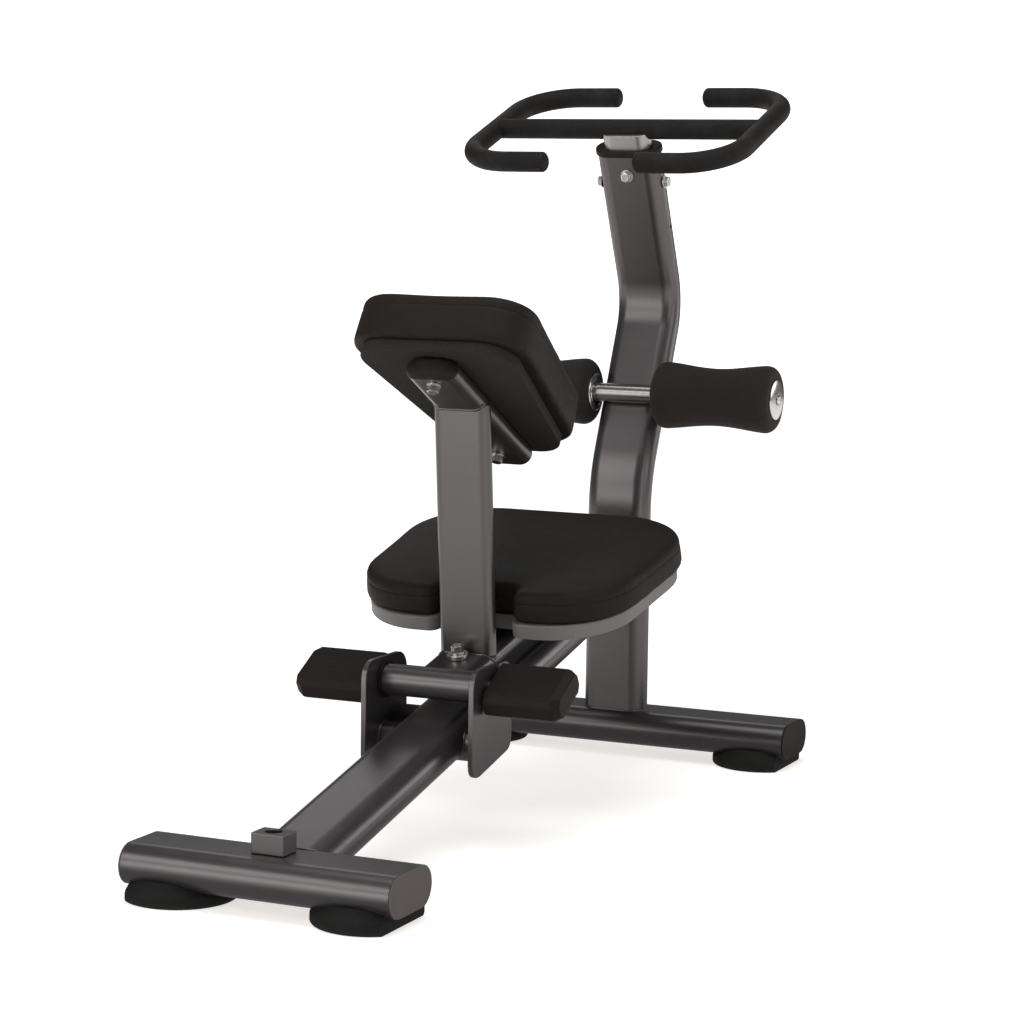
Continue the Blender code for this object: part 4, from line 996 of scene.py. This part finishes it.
def bracket():
    bushing = [(0.0125, -0.0005), (0.0145, 0.0), (0.0275, 0.0), (0.0285, -0.001), (0.0285, -0.004),
               (0.0202, -0.004), (0.0202, -0.024), (0.0125, -0.024)]
    for side, sign in SIDES:
        node = "side_plate_" + side
        finished(node, merged_copy(node), "graphite", angle=25.0, weighted=False)
        node = "stub_tube_" + side
        stub = tube_solid(CROSS_RADIUS, outer_end(node) - STUB_START)
        finished(node, stub, "graphite", stub_axis(side, sign, STUB_START))
        node = "bushing_" + side
        bush = turned_solid(raised(bushing, outer_end(node)), 64, True)
        finished(node, bush, "black_plastic", sideways(at_side(0.0, PIVOT), sign))
    cross_piece("pivot_tube", PIVOT, CROSS_RADIUS, "graphite")
    cross_piece("pivot_shaft", PIVOT, SHAFT_RADIUS, "steel", 0.001)
    profile = [(0.0, 0.0262), (0.0215, 0.0262), (0.0240, 0.0235), (0.0236, 0.0150), (0.0246, 0.0060),
               (0.0250, GAP), (0.0, GAP)]
    rest = turned_solid(eased(profile, 0.0015, 3), 64)
    finished("rest_bumper", rest, "rubber", facing(over_rail(REST_FORWARD, 0.0), QUARTER + RAIL_SLOPE))


def foot_grips():
    wide, thick, chamfer = 0.049, 0.021, 0.0108
    start, shoulder, tip = 0.1005, 0.2105, 0.0130
    corners = []
    for x_sign, y_sign in ((1, 1), (-1, 1), (-1, -1), (1, -1)):
        first = (x_sign * wide, y_sign * (thick - chamfer), 0.005)
        second = (x_sign * (wide - chamfer), y_sign * thick, 0.005)
        corners.extend((first, second) if x_sign == y_sign else (second, first))
    for side, sign in SIDES:
        work = bmesh.new()
        flat_outline(work, corners, 5)
        bmesh.ops.recalc_face_normals(work, faces=work.faces)
        top = raise_face(work, list(work.faces), shoulder - start)
        top = raise_face(work, top, tip)
        bmesh.ops.scale(work, verts=corners_of(top), vec=(0.80, 0.80, 1.0))
        clean(work)
        rounded(work, sharp_edges(work, 25.0), 0.0016)
        turn = Matrix(((0, 0, sign, 0), (sign, 0, 0, 0), (0, 1, 0, 0), (0, 0, 0, 1)))
        tilt = Matrix.Rotation(sign * GRIP_TILT, 4, "Z")
        moved(work, Matrix.Translation(at_side(sign * start, PIVOT)) @ turn @ tilt)
        bmesh.ops.recalc_face_normals(work, faces=work.faces)
        finished("foot_grip_" + side, work, "black_plastic", material=look("grip"), angle=40.0)


def upright():
    lean = QUARTER - LEAN_FORWARD
    corner = upright_corner()
    first = LOWER_BEND[1] * math.tan(LEAN_FORWARD / 2)
    second = UPPER_BEND[1] * math.tan((LEAN_FORWARD + LEAN_BACK) / 2)
    work = bmesh.new()
    ring = oval_ring(work, UPRIGHT_TUBE)
    moved(work, Matrix.Translation(forward(UPRIGHT_FORWARD, REAR_BAR.z)))
    closed(work, ring)
    ring = push(work, ring, (0.0, 0.0, LOWER_BEND[0] - first - REAR_BAR.z))
    centre = forward(UPRIGHT_FORWARD + LOWER_BEND[1], LOWER_BEND[0] - first)
    ring = swing(work, ring, centre, RIGHT, -LEAN_FORWARD, 14)
    start = forward(UPRIGHT_FORWARD, LOWER_BEND[0]) + along(lean) * first
    end = corner - along(lean) * second
    ring = push(work, ring, end - start)
    centre = end + square_to(lean) * UPPER_BEND[1]
    ring = swing(work, ring, centre, RIGHT, LEAN_FORWARD + LEAN_BACK, 22)
    start = corner + along(QUARTER + LEAN_BACK) * second
    closed(work, push(work, ring, upright_top(0.0) - start))
    clean(work)
    radius, depth, side, drop = 0.0036, 0.08, 0.045, 0.141
    hole = turned_solid([(0.0, depth), (radius, depth), (radius, 0.0), (0.0, 0.0)], 24)
    moved(hole, sideways(upright_top(drop) + RIGHT * side))
    finished("upright", combined(work, hole, "DIFFERENCE"), "graphite")
    leaning = QUARTER + LEAN_BACK
    collar_height, collar_edge = 0.0115, 0.0022
    collar = tube_solid(COLLAR_TUBE, collar_height, collar_edge)
    finished("stem_collar", collar, "black_plastic", facing(upright_top(-GAP), leaning))
    inside, above = 0.070, 0.0345 / math.cos(LEAN_BACK)
    stem = tube_solid(STEM_TUBE, inside + above, 0.0008)
    finished("stem", stem, "silver", facing(upright_top(inside), leaning))


def handlebar():
    # Half the depth of a handle, its reach sideways, its bends' radius and where its ends are
    half, reach, bend, end = 0.174, 0.2475, 0.090, 0.088
    tilt = lying(HANDLEBAR, HANDLE_TILT)
    axis = (0.0, 0.0, 1.0)
    plug = [(HANDLE_RADIUS * math.sin(turn), 0.0100 * math.cos(turn))
            for turn in (QUARTER * step / 10 for step in range(10))]
    plug += [(HANDLE_RADIUS, GAP), (HANDLE_RADIUS - 0.001, 0.0), (0.0, 0.0)]
    for side, sign in SIDES:
        work = bmesh.new()
        ring = round_ring(work, HANDLE_RADIUS)
        moved(work, sideways((sign * end, -half, 0.0), sign))
        closed(work, ring)
        ring = push(work, ring, (sign * (reach - bend - end), 0.0, 0.0))
        ring = swing(work, ring, (sign * (reach - bend), bend - half, 0.0), axis, sign * QUARTER, 24)
        ring = push(work, ring, (0.0, 2 * (half - bend), 0.0))
        ring = swing(work, ring, (sign * (reach - bend), half - bend, 0.0), axis, sign * QUARTER, 24)
        closed(work, push(work, ring, (sign * (end - reach + bend), 0.0, 0.0)))
        clean(work)
        finished("handle_" + side, work, "bar_black", tilt, angle=50.0)
        for name, direction in ENDS:
            place = sideways(tilt @ Vector((sign * end, direction * half, 0.0)), -sign)
            node = f"handle_plug_{name}_{side}"
            finished(node, turned_solid(plug, 40), "black_plastic", place, angle=50.0, weighted=False)
    cross_piece("handlebar_cross_tube", HANDLEBAR, HANDLE_RADIUS, "bar_black")


def roller_profile(start, length):
    """The foam's section: a lobe at each end, a waist between them and a bore."""
    lobe, waist, rounding, bore = 0.0590, 0.0500, 0.018, 0.024
    profile = [(bore, start + length)]
    for step in range(49):
        part = (1 - math.cos(math.pi * step / 48)) / 2
        swell = math.cos(math.pi * part) ** 2
        near_end = max(0.0, rounding - length * min(part, 1 - part))
        drop = rounding - math.sqrt(rounding ** 2 - near_end ** 2)
        profile.append((waist + (lobe - waist) * swell - drop, start + length * (1 - part)))
    return profile + [(bore, start), (bore, start + 0.02), (bore, start + length - 0.02)]


def leg_rollers():
    start, length, dents, dents_per_metre = 0.062, 0.2165, 0.004, 26.0
    cap_rise, bolt_gap, inner_radius = 0.0035, 0.0005, 0.03
    high = start + length
    bolt_base = high + cap_rise + bolt_gap
    hub = [(0.0170, 0.02), (0.0170, -0.0056), (0.0185, -0.0060), (0.0240, -0.0060), (0.0250, -0.0046),
           (0.0262, -0.0046), (0.0270, -0.0058), (0.0315, -0.0058), (0.0330, -0.0046), (0.0330, -0.0004),
           (0.0232, -GAP), (0.0232, 0.02)]
    cap = [(0.0046, cap_rise), (0.0120, cap_rise), (0.0200, 0.0033), (0.0276, 0.0027), (0.0318, 0.0020),
           (0.0341, 0.0011), (0.0345, 0.0004), (0.0236, GAP), (0.0236, -0.012), (0.0172, -0.012),
           (0.0172, -0.001), (0.0046, -0.001)]
    bolt = [(0.0, 0.0030), (0.0026, 0.0030), (0.0030, 0.0040), (0.0052, 0.0038), (0.0076, 0.0026),
            (0.0088, 0.0010), (0.0090, GAP), (0.0042, GAP), (0.0042, -0.020), (0.0, -0.020)]
    for side, sign in SIDES:
        place = sideways(AXLE, sign)
        work = turned_solid(roller_profile(start, length), 96, True)
        for vert in work.verts:
            if vert.co.xy.length > inner_radius:
                vert.co *= 1.0 + dents * (noise.noise(vert.co * dents_per_metre) - 0.5)
        piece = finished("roller_foam_" + side, work, "foam", place, angle=60.0, weighted=False)
        finished("roller_hub_" + side, turned_solid(raised(hub, start), 72, True), "chrome", place)
        finished("roller_cap_" + side, turned_solid(raised(cap, high), 72, True), "chrome", place)
        finished("axle_bolt_" + side, turned_solid(raised(bolt, bolt_base)), "zinc", place)
    cross_piece("roller_axle", AXLE, AXLE_RADIUS, "chrome", material=look("axle"))


def domed_cap(tube, height):
    """A tube's end closed by a dome that narrows more across the flats than between them."""
    work = bmesh.new()
    ring = oval_ring(work, tube)
    closed(work, ring)
    height_now, wide, thin, rings = 0.0, 1.0, 1.0, 10
    for step in range(1, rings):
        angle = QUARTER * step / rings
        rise = height * math.sin(angle) - height_now
        ring = push(work, ring, (0.0, 0.0, rise))
        height_now += rise
        next_wide, next_thin = math.cos(angle), (1 + math.cos(angle)) / 2
        bmesh.ops.scale(work, verts=corners_of(ring), vec=(next_wide / wide, next_thin / thin, 1.0))
        wide, thin = next_wide, next_thin
    closed(work, ring)
    clean(work)
    return work


def rocking_frame():
    centre_rise = BEAM_RISE + SEAT_TUBE[1] / 2
    start = over_rail(PIVOT.y - REAR_BAR.y, centre_rise)
    end = over_rail(BEAM_END, centre_rise)
    beam = tube_solid(SEAT_TUBE, (end - start).length)
    finished("seat_beam", beam, "graphite", facing(start, RAIL_SLOPE))
    finished("beam_end_cap", oval_cap(SEAT_TUBE), "black_plastic", facing(end, RAIL_SLOPE))
    drop = BOARD_THICKNESS + 2 * GAP + PAD_TUBE[1] / 2
    sunk, dome = 0.006, 0.018
    low = over_rail(POST_FORWARD, BEAM_TOP - sunk)
    direction, normal = along(QUARTER + POST_LEAN), square_to(-PAD_SLOPE)
    length = (under_pad(0.0, drop) - low).dot(normal) / direction.dot(normal)
    finished("post", tube_solid(SEAT_TUBE, length), "graphite", facing(low, QUARTER + POST_LEAN))
    rear, front = PAD_TUBE_ENDS
    tube = tube_solid(PAD_TUBE, front - rear)
    finished("pad_tube", tube, "graphite", facing(under_pad(rear, drop), -PAD_SLOPE))
    for name, reach, turn in (("rear", rear, math.pi), ("front", front, 0.0)):
        cap = domed_cap(PAD_TUBE, dome)
        place = facing(under_pad(reach, drop), turn - PAD_SLOPE)
        finished("pad_tube_cap_" + name, cap, "black_plastic", place, angle=50.0, weighted=False)


def fasteners():
    rear = upright_top(REAR_STEM_BOLT_DROP, -UPRIGHT_TUBE[1] / 2)
    finished("stem_bolt_rear", hex_bolt(STEM_BOLT), "zinc", facing(rear, math.pi + LEAN_BACK))
    wall = (UPRIGHT_TUBE[0] + UPRIGHT_TUBE[1]) / 2
    for side, sign in SIDES:
        place = upright_top(SIDE_STEM_BOLT_DROP) + RIGHT * sign * wall
        finished("stem_bolt_" + side, hex_bolt(STEM_BOLT), "zinc", sideways(place, sign))
    spacer_height, spacer_radius, spacer_edge = 0.0075, 0.0165, 0.0012
    top = spacer_height + 0.0002
    outline = [(0.0, top), (spacer_radius, top), (spacer_radius, GAP), (0.0, GAP)]
    spacer = turned_solid(eased(outline, spacer_edge, 3))
    screw = join(hex_bolt(FRAME_BOLT, spacer_height), spacer)
    place = facing(over_rail(BEAM_BOLT_FORWARD, BEAM_TOP), QUARTER + RAIL_SLOPE)
    finished("beam_bolt", screw, "zinc", place)
    drop = BOARD_THICKNESS + 2 * GAP + PAD_TUBE[1]
    for name, reach in PAD_BOLTS:
        place = facing(under_pad(reach, drop), -PAD_SLOPE - QUARTER)
        finished("pad_bolt_" + name, hex_bolt(FRAME_BOLT), "zinc", place)


# Seat and pad


def wedge(widths, length, corners, inset_by, notch=()):
    """Corners of a plate with its own width at each end, and with a notch in the rear if it is given."""
    rear, front = (width / 2 - inset_by for width in widths)
    end = length / 2 - inset_by
    rear_corner, front_corner = (corner - inset_by for corner in corners)
    return [
        (-rear, -end, rear_corner), *notch, (rear, -end, rear_corner),
        (front, end, front_corner), (-front, end, front_corner),
    ]


def seat_corners(inset_by=0.0):
    side, end = NOTCH_WIDTH / 2 + inset_by, inset_by - SEAT_LENGTH / 2
    outer, inner = NOTCH_OUTER - inset_by, NOTCH_INNER + inset_by
    notch = [
        (-side, end, outer), (-side, end + NOTCH_DEPTH, inner),
        (side, end + NOTCH_DEPTH, inner), (side, end, outer),
    ]
    return wedge(SEAT_WIDTHS, SEAT_LENGTH, SEAT_CORNERS, inset_by, notch)


def seat_cushion_corners(inset_by):
    return seat_corners(inset_by - 0.001)


def pad_corners(inset_by):
    return wedge(PAD_WIDTHS, PAD_LENGTH, PAD_CORNERS, inset_by)


def stuffed(outline, height, edge):
    """The cushion's first form: a slab with rounded upper and lower edges."""
    work = slab(outline, height)
    top = [line for line in sharp_edges(work) if all(vert.co.z > height * 0.9 for vert in line.verts)]
    rounded(work, top, edge, 6)
    low = [line for line in sharp_edges(work) if all(vert.co.z < height * 0.1 for vert in line.verts)]
    rounded(work, low, 0.003)
    clean(work)
    return work


COVER = {
    "quality": 5,
    "mass": 0.4,
    "tension_stiffness": 18.0,
    "compression_stiffness": 18.0,
    "bending_stiffness": 0.8,
    "use_pressure": True,
    "uniform_pressure_force": 4.0,
    "vertex_group_mass": "held",
}


def inflate(piece, cap):
    """Blows up the cover of a cushion as cloth over its stuffing, and holds its base down."""
    scene = bpy.context.scene
    base, frames, rounds = 0.004, 20, 30
    vertices = piece.data.vertices
    low = min(vert.co.z for vert in vertices)
    held = piece.vertex_groups.new(name="held")
    held.add([vert.index for vert in vertices if vert.co.z < low + base], 1.0, "REPLACE")
    before = [vert.co.copy() for vert in vertices]
    cloth = piece.modifiers.new("cover", "CLOTH")
    for name, value in COVER.items():
        setattr(cloth.settings, name, value)
    cloth.settings.effector_weights.gravity = 0.0
    cloth.collision_settings.use_collision = False
    for step in range(frames):
        scene.frame_set(step + 1)
    applied(piece)
    scene.frame_set(1)
    piece.vertex_groups.clear()
    moves = []
    for vert, start in zip(piece.data.vertices, before):
        move = vert.co - start
        moves.append(move if move.length < cap else move.normalized() * cap)
    for vert, start, move in zip(piece.data.vertices, before, evened(piece.data, moves, rounds)):
        vert.co = start + Vector(move)


def evened(mesh, moves, rounds):
    """Spreads each point's move over its neighbours, so that the cover stays taut."""
    moves = np.array(moves)
    pairs = np.array([tuple(edge.vertices) for edge in mesh.edges])
    pairs = np.concatenate([pairs, pairs[:, ::-1]])
    counts = np.bincount(pairs[:, 0], minlength=len(moves))[:, None]
    for _ in range(rounds):
        total = np.zeros_like(moves)
        np.add.at(total, pairs[:, 0], moves[pairs[:, 1]])
        moves = (moves + total) / (counts + 1)
    return moves


def fit_to(mesh, corners, height):
    """Brings the cushion to the size of its place, which has these corners and this height."""
    wide = max(abs(x) for x, _, _ in corners)
    end = max(abs(y) for _, y, _ in corners)
    for axis, (first, last) in enumerate(((-wide, wide), (-end, end), (0.0, height))):
        low = min(vert.co[axis] for vert in mesh.vertices)
        high = max(vert.co[axis] for vert in mesh.vertices)
        for vert in mesh.vertices:
            vert.co[axis] = first + (vert.co[axis] - low) / (high - low) * (last - first)


def sew(mesh, seam, height):
    """Draws the cover in along the seam, with small puckers."""
    depth, half_width, pucker, puckers_per_metre = sizes().seam, 0.0028, 0.35, 55.0
    sides = [Vector((vert.normal.x, vert.normal.y, 0.0)) for vert in mesh.vertices]
    for vert, outward in zip(mesh.vertices, sides):
        if outward.length < 0.45 or not 0.002 < vert.co.z < height * 0.95:
            continue
        near = math.exp(-((vert.co.z - seam) / half_width) ** 2)
        share = 1.0 + pucker * noise.noise(vert.co * puckers_per_metre)
        vert.co -= outward.normalized() * depth * near * share


def cushion_piece(node, outline, size, matrix, material):
    """A stuffed cushion: inflated cover, a sewn seam round its side and a fine mesh."""
    height, edge, seam = size
    swell, quick = sizes().swell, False
    side_room, top_room = (0.0, 0.004) if quick else (swell * 0.35, swell * 0.7)
    piece = to_object(node + "_finished", stuffed(outline(side_room), height - top_room, edge))
    remesh = piece.modifiers.new("even", "REMESH")
    remesh.mode = "VOXEL"
    remesh.voxel_size = sizes().voxel
    remesh.adaptivity = 0.0
    applied(piece)
    if not quick:
        inflate(piece, swell)
    work = bmesh.new()
    work.from_mesh(piece.data)
    for _ in range(2):
        bmesh.ops.smooth_vert(
            work, verts=work.verts, factor=0.4, use_axis_x=True, use_axis_y=True, use_axis_z=True
        )
    bmesh.ops.recalc_face_normals(work, faces=work.faces)
    work.to_mesh(piece.data)
    work.free()
    fine = piece.modifiers.new("fine", "SUBSURF")
    fine.levels = fine.render_levels = 1
    applied(piece)
    fit_to(piece.data, outline(0.0), height)
    sew(piece.data, seam, height)
    piece.data.transform(matrix)
    shade(piece, material)
    stand_in(piece, node)


def kneeling_seat():
    place = over_rail(SEAT_FORWARD, BEAM_TOP)
    shell = slab(seat_corners(), SHELL_HEIGHT)
    rounded(shell, sharp_edges(shell, 60.0), 0.0030, 4)
    under = min(shell.faces, key=lambda face: face.calc_center_median().z - face.calc_area())
    inset(shell, under, 0.0015)
    inset(shell, under, 0.0010, SHELL_WALL - SHELL_HEIGHT)
    finished("seat_shell", shell, "shell_grey", seat_matrix(0.0), angle=30.0)
    width, depth, from_middle = 0.260, 0.040, 0.090
    height = SEAT_ABOVE_BEAM + SHELL_HEIGHT - SHELL_WALL - GAP
    for end, sign in ENDS:
        bar = box_solid(width, depth, GAP, height, 0.002)
        bar_place = lying(place + along(RAIL_SLOPE) * sign * from_middle, RAIL_SLOPE)
        finished("seat_mount_" + end, bar, "black_plastic", bar_place)
    matrix = seat_matrix(SHELL_HEIGHT + GAP)
    vinyl = vinyl_of("seat_vinyl", matrix, RAIL_SLOPE, SEAT_CUSHION[2])
    cushion_piece("seat_cushion", seat_cushion_corners, SEAT_CUSHION, matrix, vinyl)


def seat_matrix(rise):
    return lying(over_rail(SEAT_FORWARD, BEAM_TOP + SEAT_ABOVE_BEAM + rise), RAIL_SLOPE)


def upper_pad():
    overhang = 0.010
    panel = slab(pad_corners(overhang), BOARD_THICKNESS)
    rounded(panel, sharp_edges(panel, 60.0), 0.002)
    panel_place = lying(under_pad(0.0, BOARD_THICKNESS + GAP), -PAD_SLOPE)
    finished("pad_board", panel, "board", panel_place)
    matrix = lying(under_pad(0.0, 0.0), -PAD_SLOPE)
    vinyl = vinyl_of("pad_vinyl", matrix, -PAD_SLOPE, PAD_CUSHION[2])
    cushion_piece("pad_cushion", pad_corners, PAD_CUSHION, matrix, vinyl)


# Stage

CAMERA_PLACE = (1.84525, REAR_BAR.y - 3.28000, 0.99390)
CAMERA_LENS = 97.77
YAW, PITCH, ROLL = 0.4269, 0.1163, -0.0139

# Radius of the floor, and height of the wall round it
STAGE_RADIUS = 9.0

# Soft lights: place, point that they face, width and height, power
LIGHTS = {
    "key": ((-1.9, -3.2, 2.4), (0.0, -0.4, 0.3), (2.6, 1.5), 32.0),
    "top": ((0.2, -0.4, 3.6), (0.0, 0.0, 0.3), (2.6, 2.6), 70.0),
    "front": ((-1.6, -4.4, 0.72), (0.0, 0.0, 0.6), (3.0, 1.4), 38.0),
    "strip": ((3.2, -1.6, 1.2), (0.0, 0.1, 0.6), (0.45, 2.2), 10.0),
    "side": ((3.2, 0.3, 1.5), (0.0, 0.2, 0.5), (1.4, 1.6), 11.0),
    "right": ((2.8, 3.5, 1.25), (0.0, 0.0, 0.4), (2.2, 1.3), 21.0),
    "back": ((-2.2, 4.3, 3.4), (0.0, 0.0, 0.4), (3.2, 1.6), 19.0),
}


def panel_light(name, place, target, size, power):
    light = bpy.data.lights.new(name, "AREA")
    light.shape = "RECTANGLE"
    light.size, light.size_y = size
    light.energy = power
    item = in_scene(name, light)
    item.location = place
    item.rotation_euler = (Vector(target) - Vector(place)).to_track_quat("-Z", "Y").to_euler()


def stage_sheet(name, material, height=0.0, rise=0.0):
    """A wide disc of the stage, or with a rise the wall round it. Reflections don't show it."""
    work = bmesh.new()
    ring = round_ring(work, STAGE_RADIUS, 96)
    if rise:
        push(work, ring, (0.0, 0.0, rise))
    else:
        closed(work, ring)
    sheet = to_object(name, moved(work, Matrix.Translation((0.0, 0.0, height))))
    sheet.data.materials.append(material)
    sheet.visible_glossy = False
    return sheet


def stage_white():
    """Matt white that glows faintly, so that shadows stay light, and more with the distance."""
    paint = Paint("studio_white", Emission_Strength=1.0, Specular_IOR_Level=0.0)
    away = paint.node("VectorMath", {"operation": "LENGTH"}, {0: paint.place}, 1)
    glow = paint.blend(paint.between(away, 1.0, 2.2), (0.70, 0.678, 0.656, 1.0), (1.0, 1.0, 1.0, 1.0))
    paint.feed(paint.shader.inputs["Emission Color"], glow)
    return paint.finish(paint.shades((0.68, 0.68, 0.68), paint.noise(0.7), 0.99, 1.01), 0.7)


def reflector_white():
    """The floor as the paint mirrors it, a painted reflection: dim beside the machine as painted shade,
    bright farther out.
    """
    paint = Paint("reflector", Emission_Strength=1.15, Specular_IOR_Level=0.0)
    beside = paint.between(paint.sum("ABSOLUTE", paint.part(paint.place, 0)), 0.28, 0.95)
    behind = paint.between(paint.part(paint.place, 1), -0.80, -1.05)
    far = paint.sum("MAXIMUM", beside, behind)
    glow = paint.blend(far, (0.24, 0.235, 0.24, 1.0), (1.0, 0.985, 0.97, 1.0))
    paint.feed(paint.shader.inputs["Emission Color"], glow)
    return paint.finish((0.0, 0.0, 0.0, 1.0), 0.8)


def camera():
    """The camera as fitted to the photograph, from its yaw, pitch and roll."""
    data = bpy.data.cameras.new("camera")
    data.lens = CAMERA_LENS
    data.sensor_width = 36.0
    data.clip_end = 60.0
    ahead = Vector((-math.sin(YAW) * math.cos(PITCH), math.cos(YAW) * math.cos(PITCH), -math.sin(PITCH)))
    right = Vector((math.cos(YAW), math.sin(YAW), 0.0))
    down = ahead.cross(right)
    tilted_right = right * math.cos(ROLL) + down * math.sin(ROLL)
    tilted_down = down * math.cos(ROLL) - right * math.sin(ROLL)
    turned = Matrix((tilted_right, -tilted_down, -ahead)).transposed().to_4x4()
    made = in_scene("camera", data)
    made.matrix_world = Matrix.Translation(CAMERA_PLACE) @ turned
    bpy.context.scene.camera = made


def stage():
    scene = bpy.context.scene
    scene.view_settings.view_transform = "Standard"
    scene.world = bpy.data.worlds.new("studio")
    scene.world.use_nodes = True
    background = scene.world.node_tree.nodes["Background"]
    background.inputs["Color"].default_value = (0.97, 0.98, 1.0, 1.0)
    background.inputs["Strength"].default_value = 0.13
    white = stage_white()
    stage_sheet("floor", white)
    stage_sheet("wall", white, rise=STAGE_RADIUS).visible_diffuse = False
    under = stage_sheet("reflector", reflector_white(), -0.004)
    under.visible_glossy = True
    under.visible_camera = under.visible_diffuse = under.visible_shadow = False
    for name, (place, target, size, power) in LIGHTS.items():
        panel_light(name, place, target, size, power)
    camera()


# Operators and panel


class MACHINE_OT_floor_frame(bpy.types.Operator):
    """Crossbars with their caps, the main rail and the block with the socket."""

    bl_idname = "stretching_machine.floor_frame"
    bl_label = "Floor frame"

    def execute(self, context):
        floor_frame()
        return {"FINISHED"}


class MACHINE_OT_feet(bpy.types.Operator):
    """Round rubber feet with a sloping shoulder and a flat outer side."""

    bl_idname = "stretching_machine.feet"
    bl_label = "Feet"

    def execute(self, context):
        feet()
        return {"FINISHED"}


class MACHINE_OT_bracket(bpy.types.Operator):
    """Side plates, stub tubes, pivot tube, bushings, shaft and rubber rest of the rocking bracket."""

    bl_idname = "stretching_machine.bracket"
    bl_label = "Rocking bracket"

    def execute(self, context):
        bracket()
        return {"FINISHED"}


class MACHINE_OT_foot_grips(bpy.types.Operator):
    """Chamfered flat grips with rounded edges, ribbed along their length."""

    bl_idname = "stretching_machine.foot_grips"
    bl_label = "Foot grips"

    def execute(self, context):
        foot_grips()
        return {"FINISHED"}


class MACHINE_OT_upright(bpy.types.Operator):
    """The bent upright, its collar and the stem of the handlebar."""

    bl_idname = "stretching_machine.upright"
    bl_label = "Upright"

    def execute(self, context):
        upright()
        return {"FINISHED"}


class MACHINE_OT_handlebar(bpy.types.Operator):
    """Two C-shaped handles with their end plugs, and the cross tube."""

    bl_idname = "stretching_machine.handlebar"
    bl_label = "Handlebar"

    def execute(self, context):
        handlebar()
        return {"FINISHED"}


class MACHINE_OT_leg_rollers(bpy.types.Operator):
    """Foam rollers with their chrome hubs and caps, and the axle with its bolts."""

    bl_idname = "stretching_machine.leg_rollers"
    bl_label = "Leg rollers"

    def execute(self, context):
        leg_rollers()
        return {"FINISHED"}


class MACHINE_OT_rocking_frame(bpy.types.Operator):
    """The seat beam with its cap, the post, and the pad tube with its domed caps."""

    bl_idname = "stretching_machine.rocking_frame"
    bl_label = "Rocking frame"

    def execute(self, context):
        rocking_frame()
        return {"FINISHED"}


class MACHINE_OT_fasteners(bpy.types.Operator):
    """Hexagon bolts on the stem, the beam and the pad tube."""

    bl_idname = "stretching_machine.fasteners"
    bl_label = "Fasteners"

    def execute(self, context):
        fasteners()
        return {"FINISHED"}


class MACHINE_OT_kneeling_seat(bpy.types.Operator):
    """The grey shell, its mounting bars and the seat cushion."""

    bl_idname = "stretching_machine.kneeling_seat"
    bl_label = "Kneeling seat"

    def execute(self, context):
        kneeling_seat()
        return {"FINISHED"}


class MACHINE_OT_upper_pad(bpy.types.Operator):
    """The board and the thick upper pad."""

    bl_idname = "stretching_machine.upper_pad"
    bl_label = "Upper pad"

    def execute(self, context):
        upper_pad()
        return {"FINISHED"}


class MACHINE_OT_welds(bpy.types.Operator):
    """Weld beads where the tubes and plates meet."""

    bl_idname = "stretching_machine.welds"
    bl_label = "Welds"

    def execute(self, context):
        frame_welds()
        rocker_welds()
        return {"FINISHED"}


class MACHINE_OT_stage(bpy.types.Operator):
    """A white floor and wall, soft lights and the camera at the photograph's angle."""

    bl_idname = "stretching_machine.stage"
    bl_label = "Stage"

    def execute(self, context):
        stage()
        return {"FINISHED"}


OPERATORS = [
    MACHINE_OT_floor_frame,
    MACHINE_OT_feet,
    MACHINE_OT_bracket,
    MACHINE_OT_foot_grips,
    MACHINE_OT_upright,
    MACHINE_OT_handlebar,
    MACHINE_OT_leg_rollers,
    MACHINE_OT_rocking_frame,
    MACHINE_OT_fasteners,
    MACHINE_OT_kneeling_seat,
    MACHINE_OT_upper_pad,
    MACHINE_OT_welds,
    MACHINE_OT_stage,
]


class MACHINE_PT_pieces(bpy.types.Panel):
    """Lists the pieces of the stretching machine and their sizes and colours."""

    bl_idname = "MACHINE_PT_pieces"
    bl_label = "Stretching machine"
    bl_space_type = "VIEW_3D"
    bl_region_type = "UI"
    bl_category = "Stretching machine"

    def draw(self, context):
        for item in OPERATORS:
            self.layout.operator(item.bl_idname)
        for group in (context.scene.machine_sizes, context.scene.machine_colours):
            for name in group.__annotations__:
                self.layout.prop(group, name)


CLASSES = [MachineSizes, MachineColours, *OPERATORS, MACHINE_PT_pieces]


def register():
    for item in CLASSES:
        bpy.utils.register_class(item)
    bpy.types.Scene.machine_sizes = PointerProperty(type=MachineSizes)
    bpy.types.Scene.machine_colours = PointerProperty(type=MachineColours)


def unregister():
    del bpy.types.Scene.machine_sizes
    del bpy.types.Scene.machine_colours
    for item in reversed(CLASSES):
        bpy.utils.unregister_class(item)


def main():
    register()
    for item in OPERATORS:
        getattr(bpy.ops.stretching_machine, item.bl_idname.split(".")[1])()


if __name__ == "__main__":
    main()
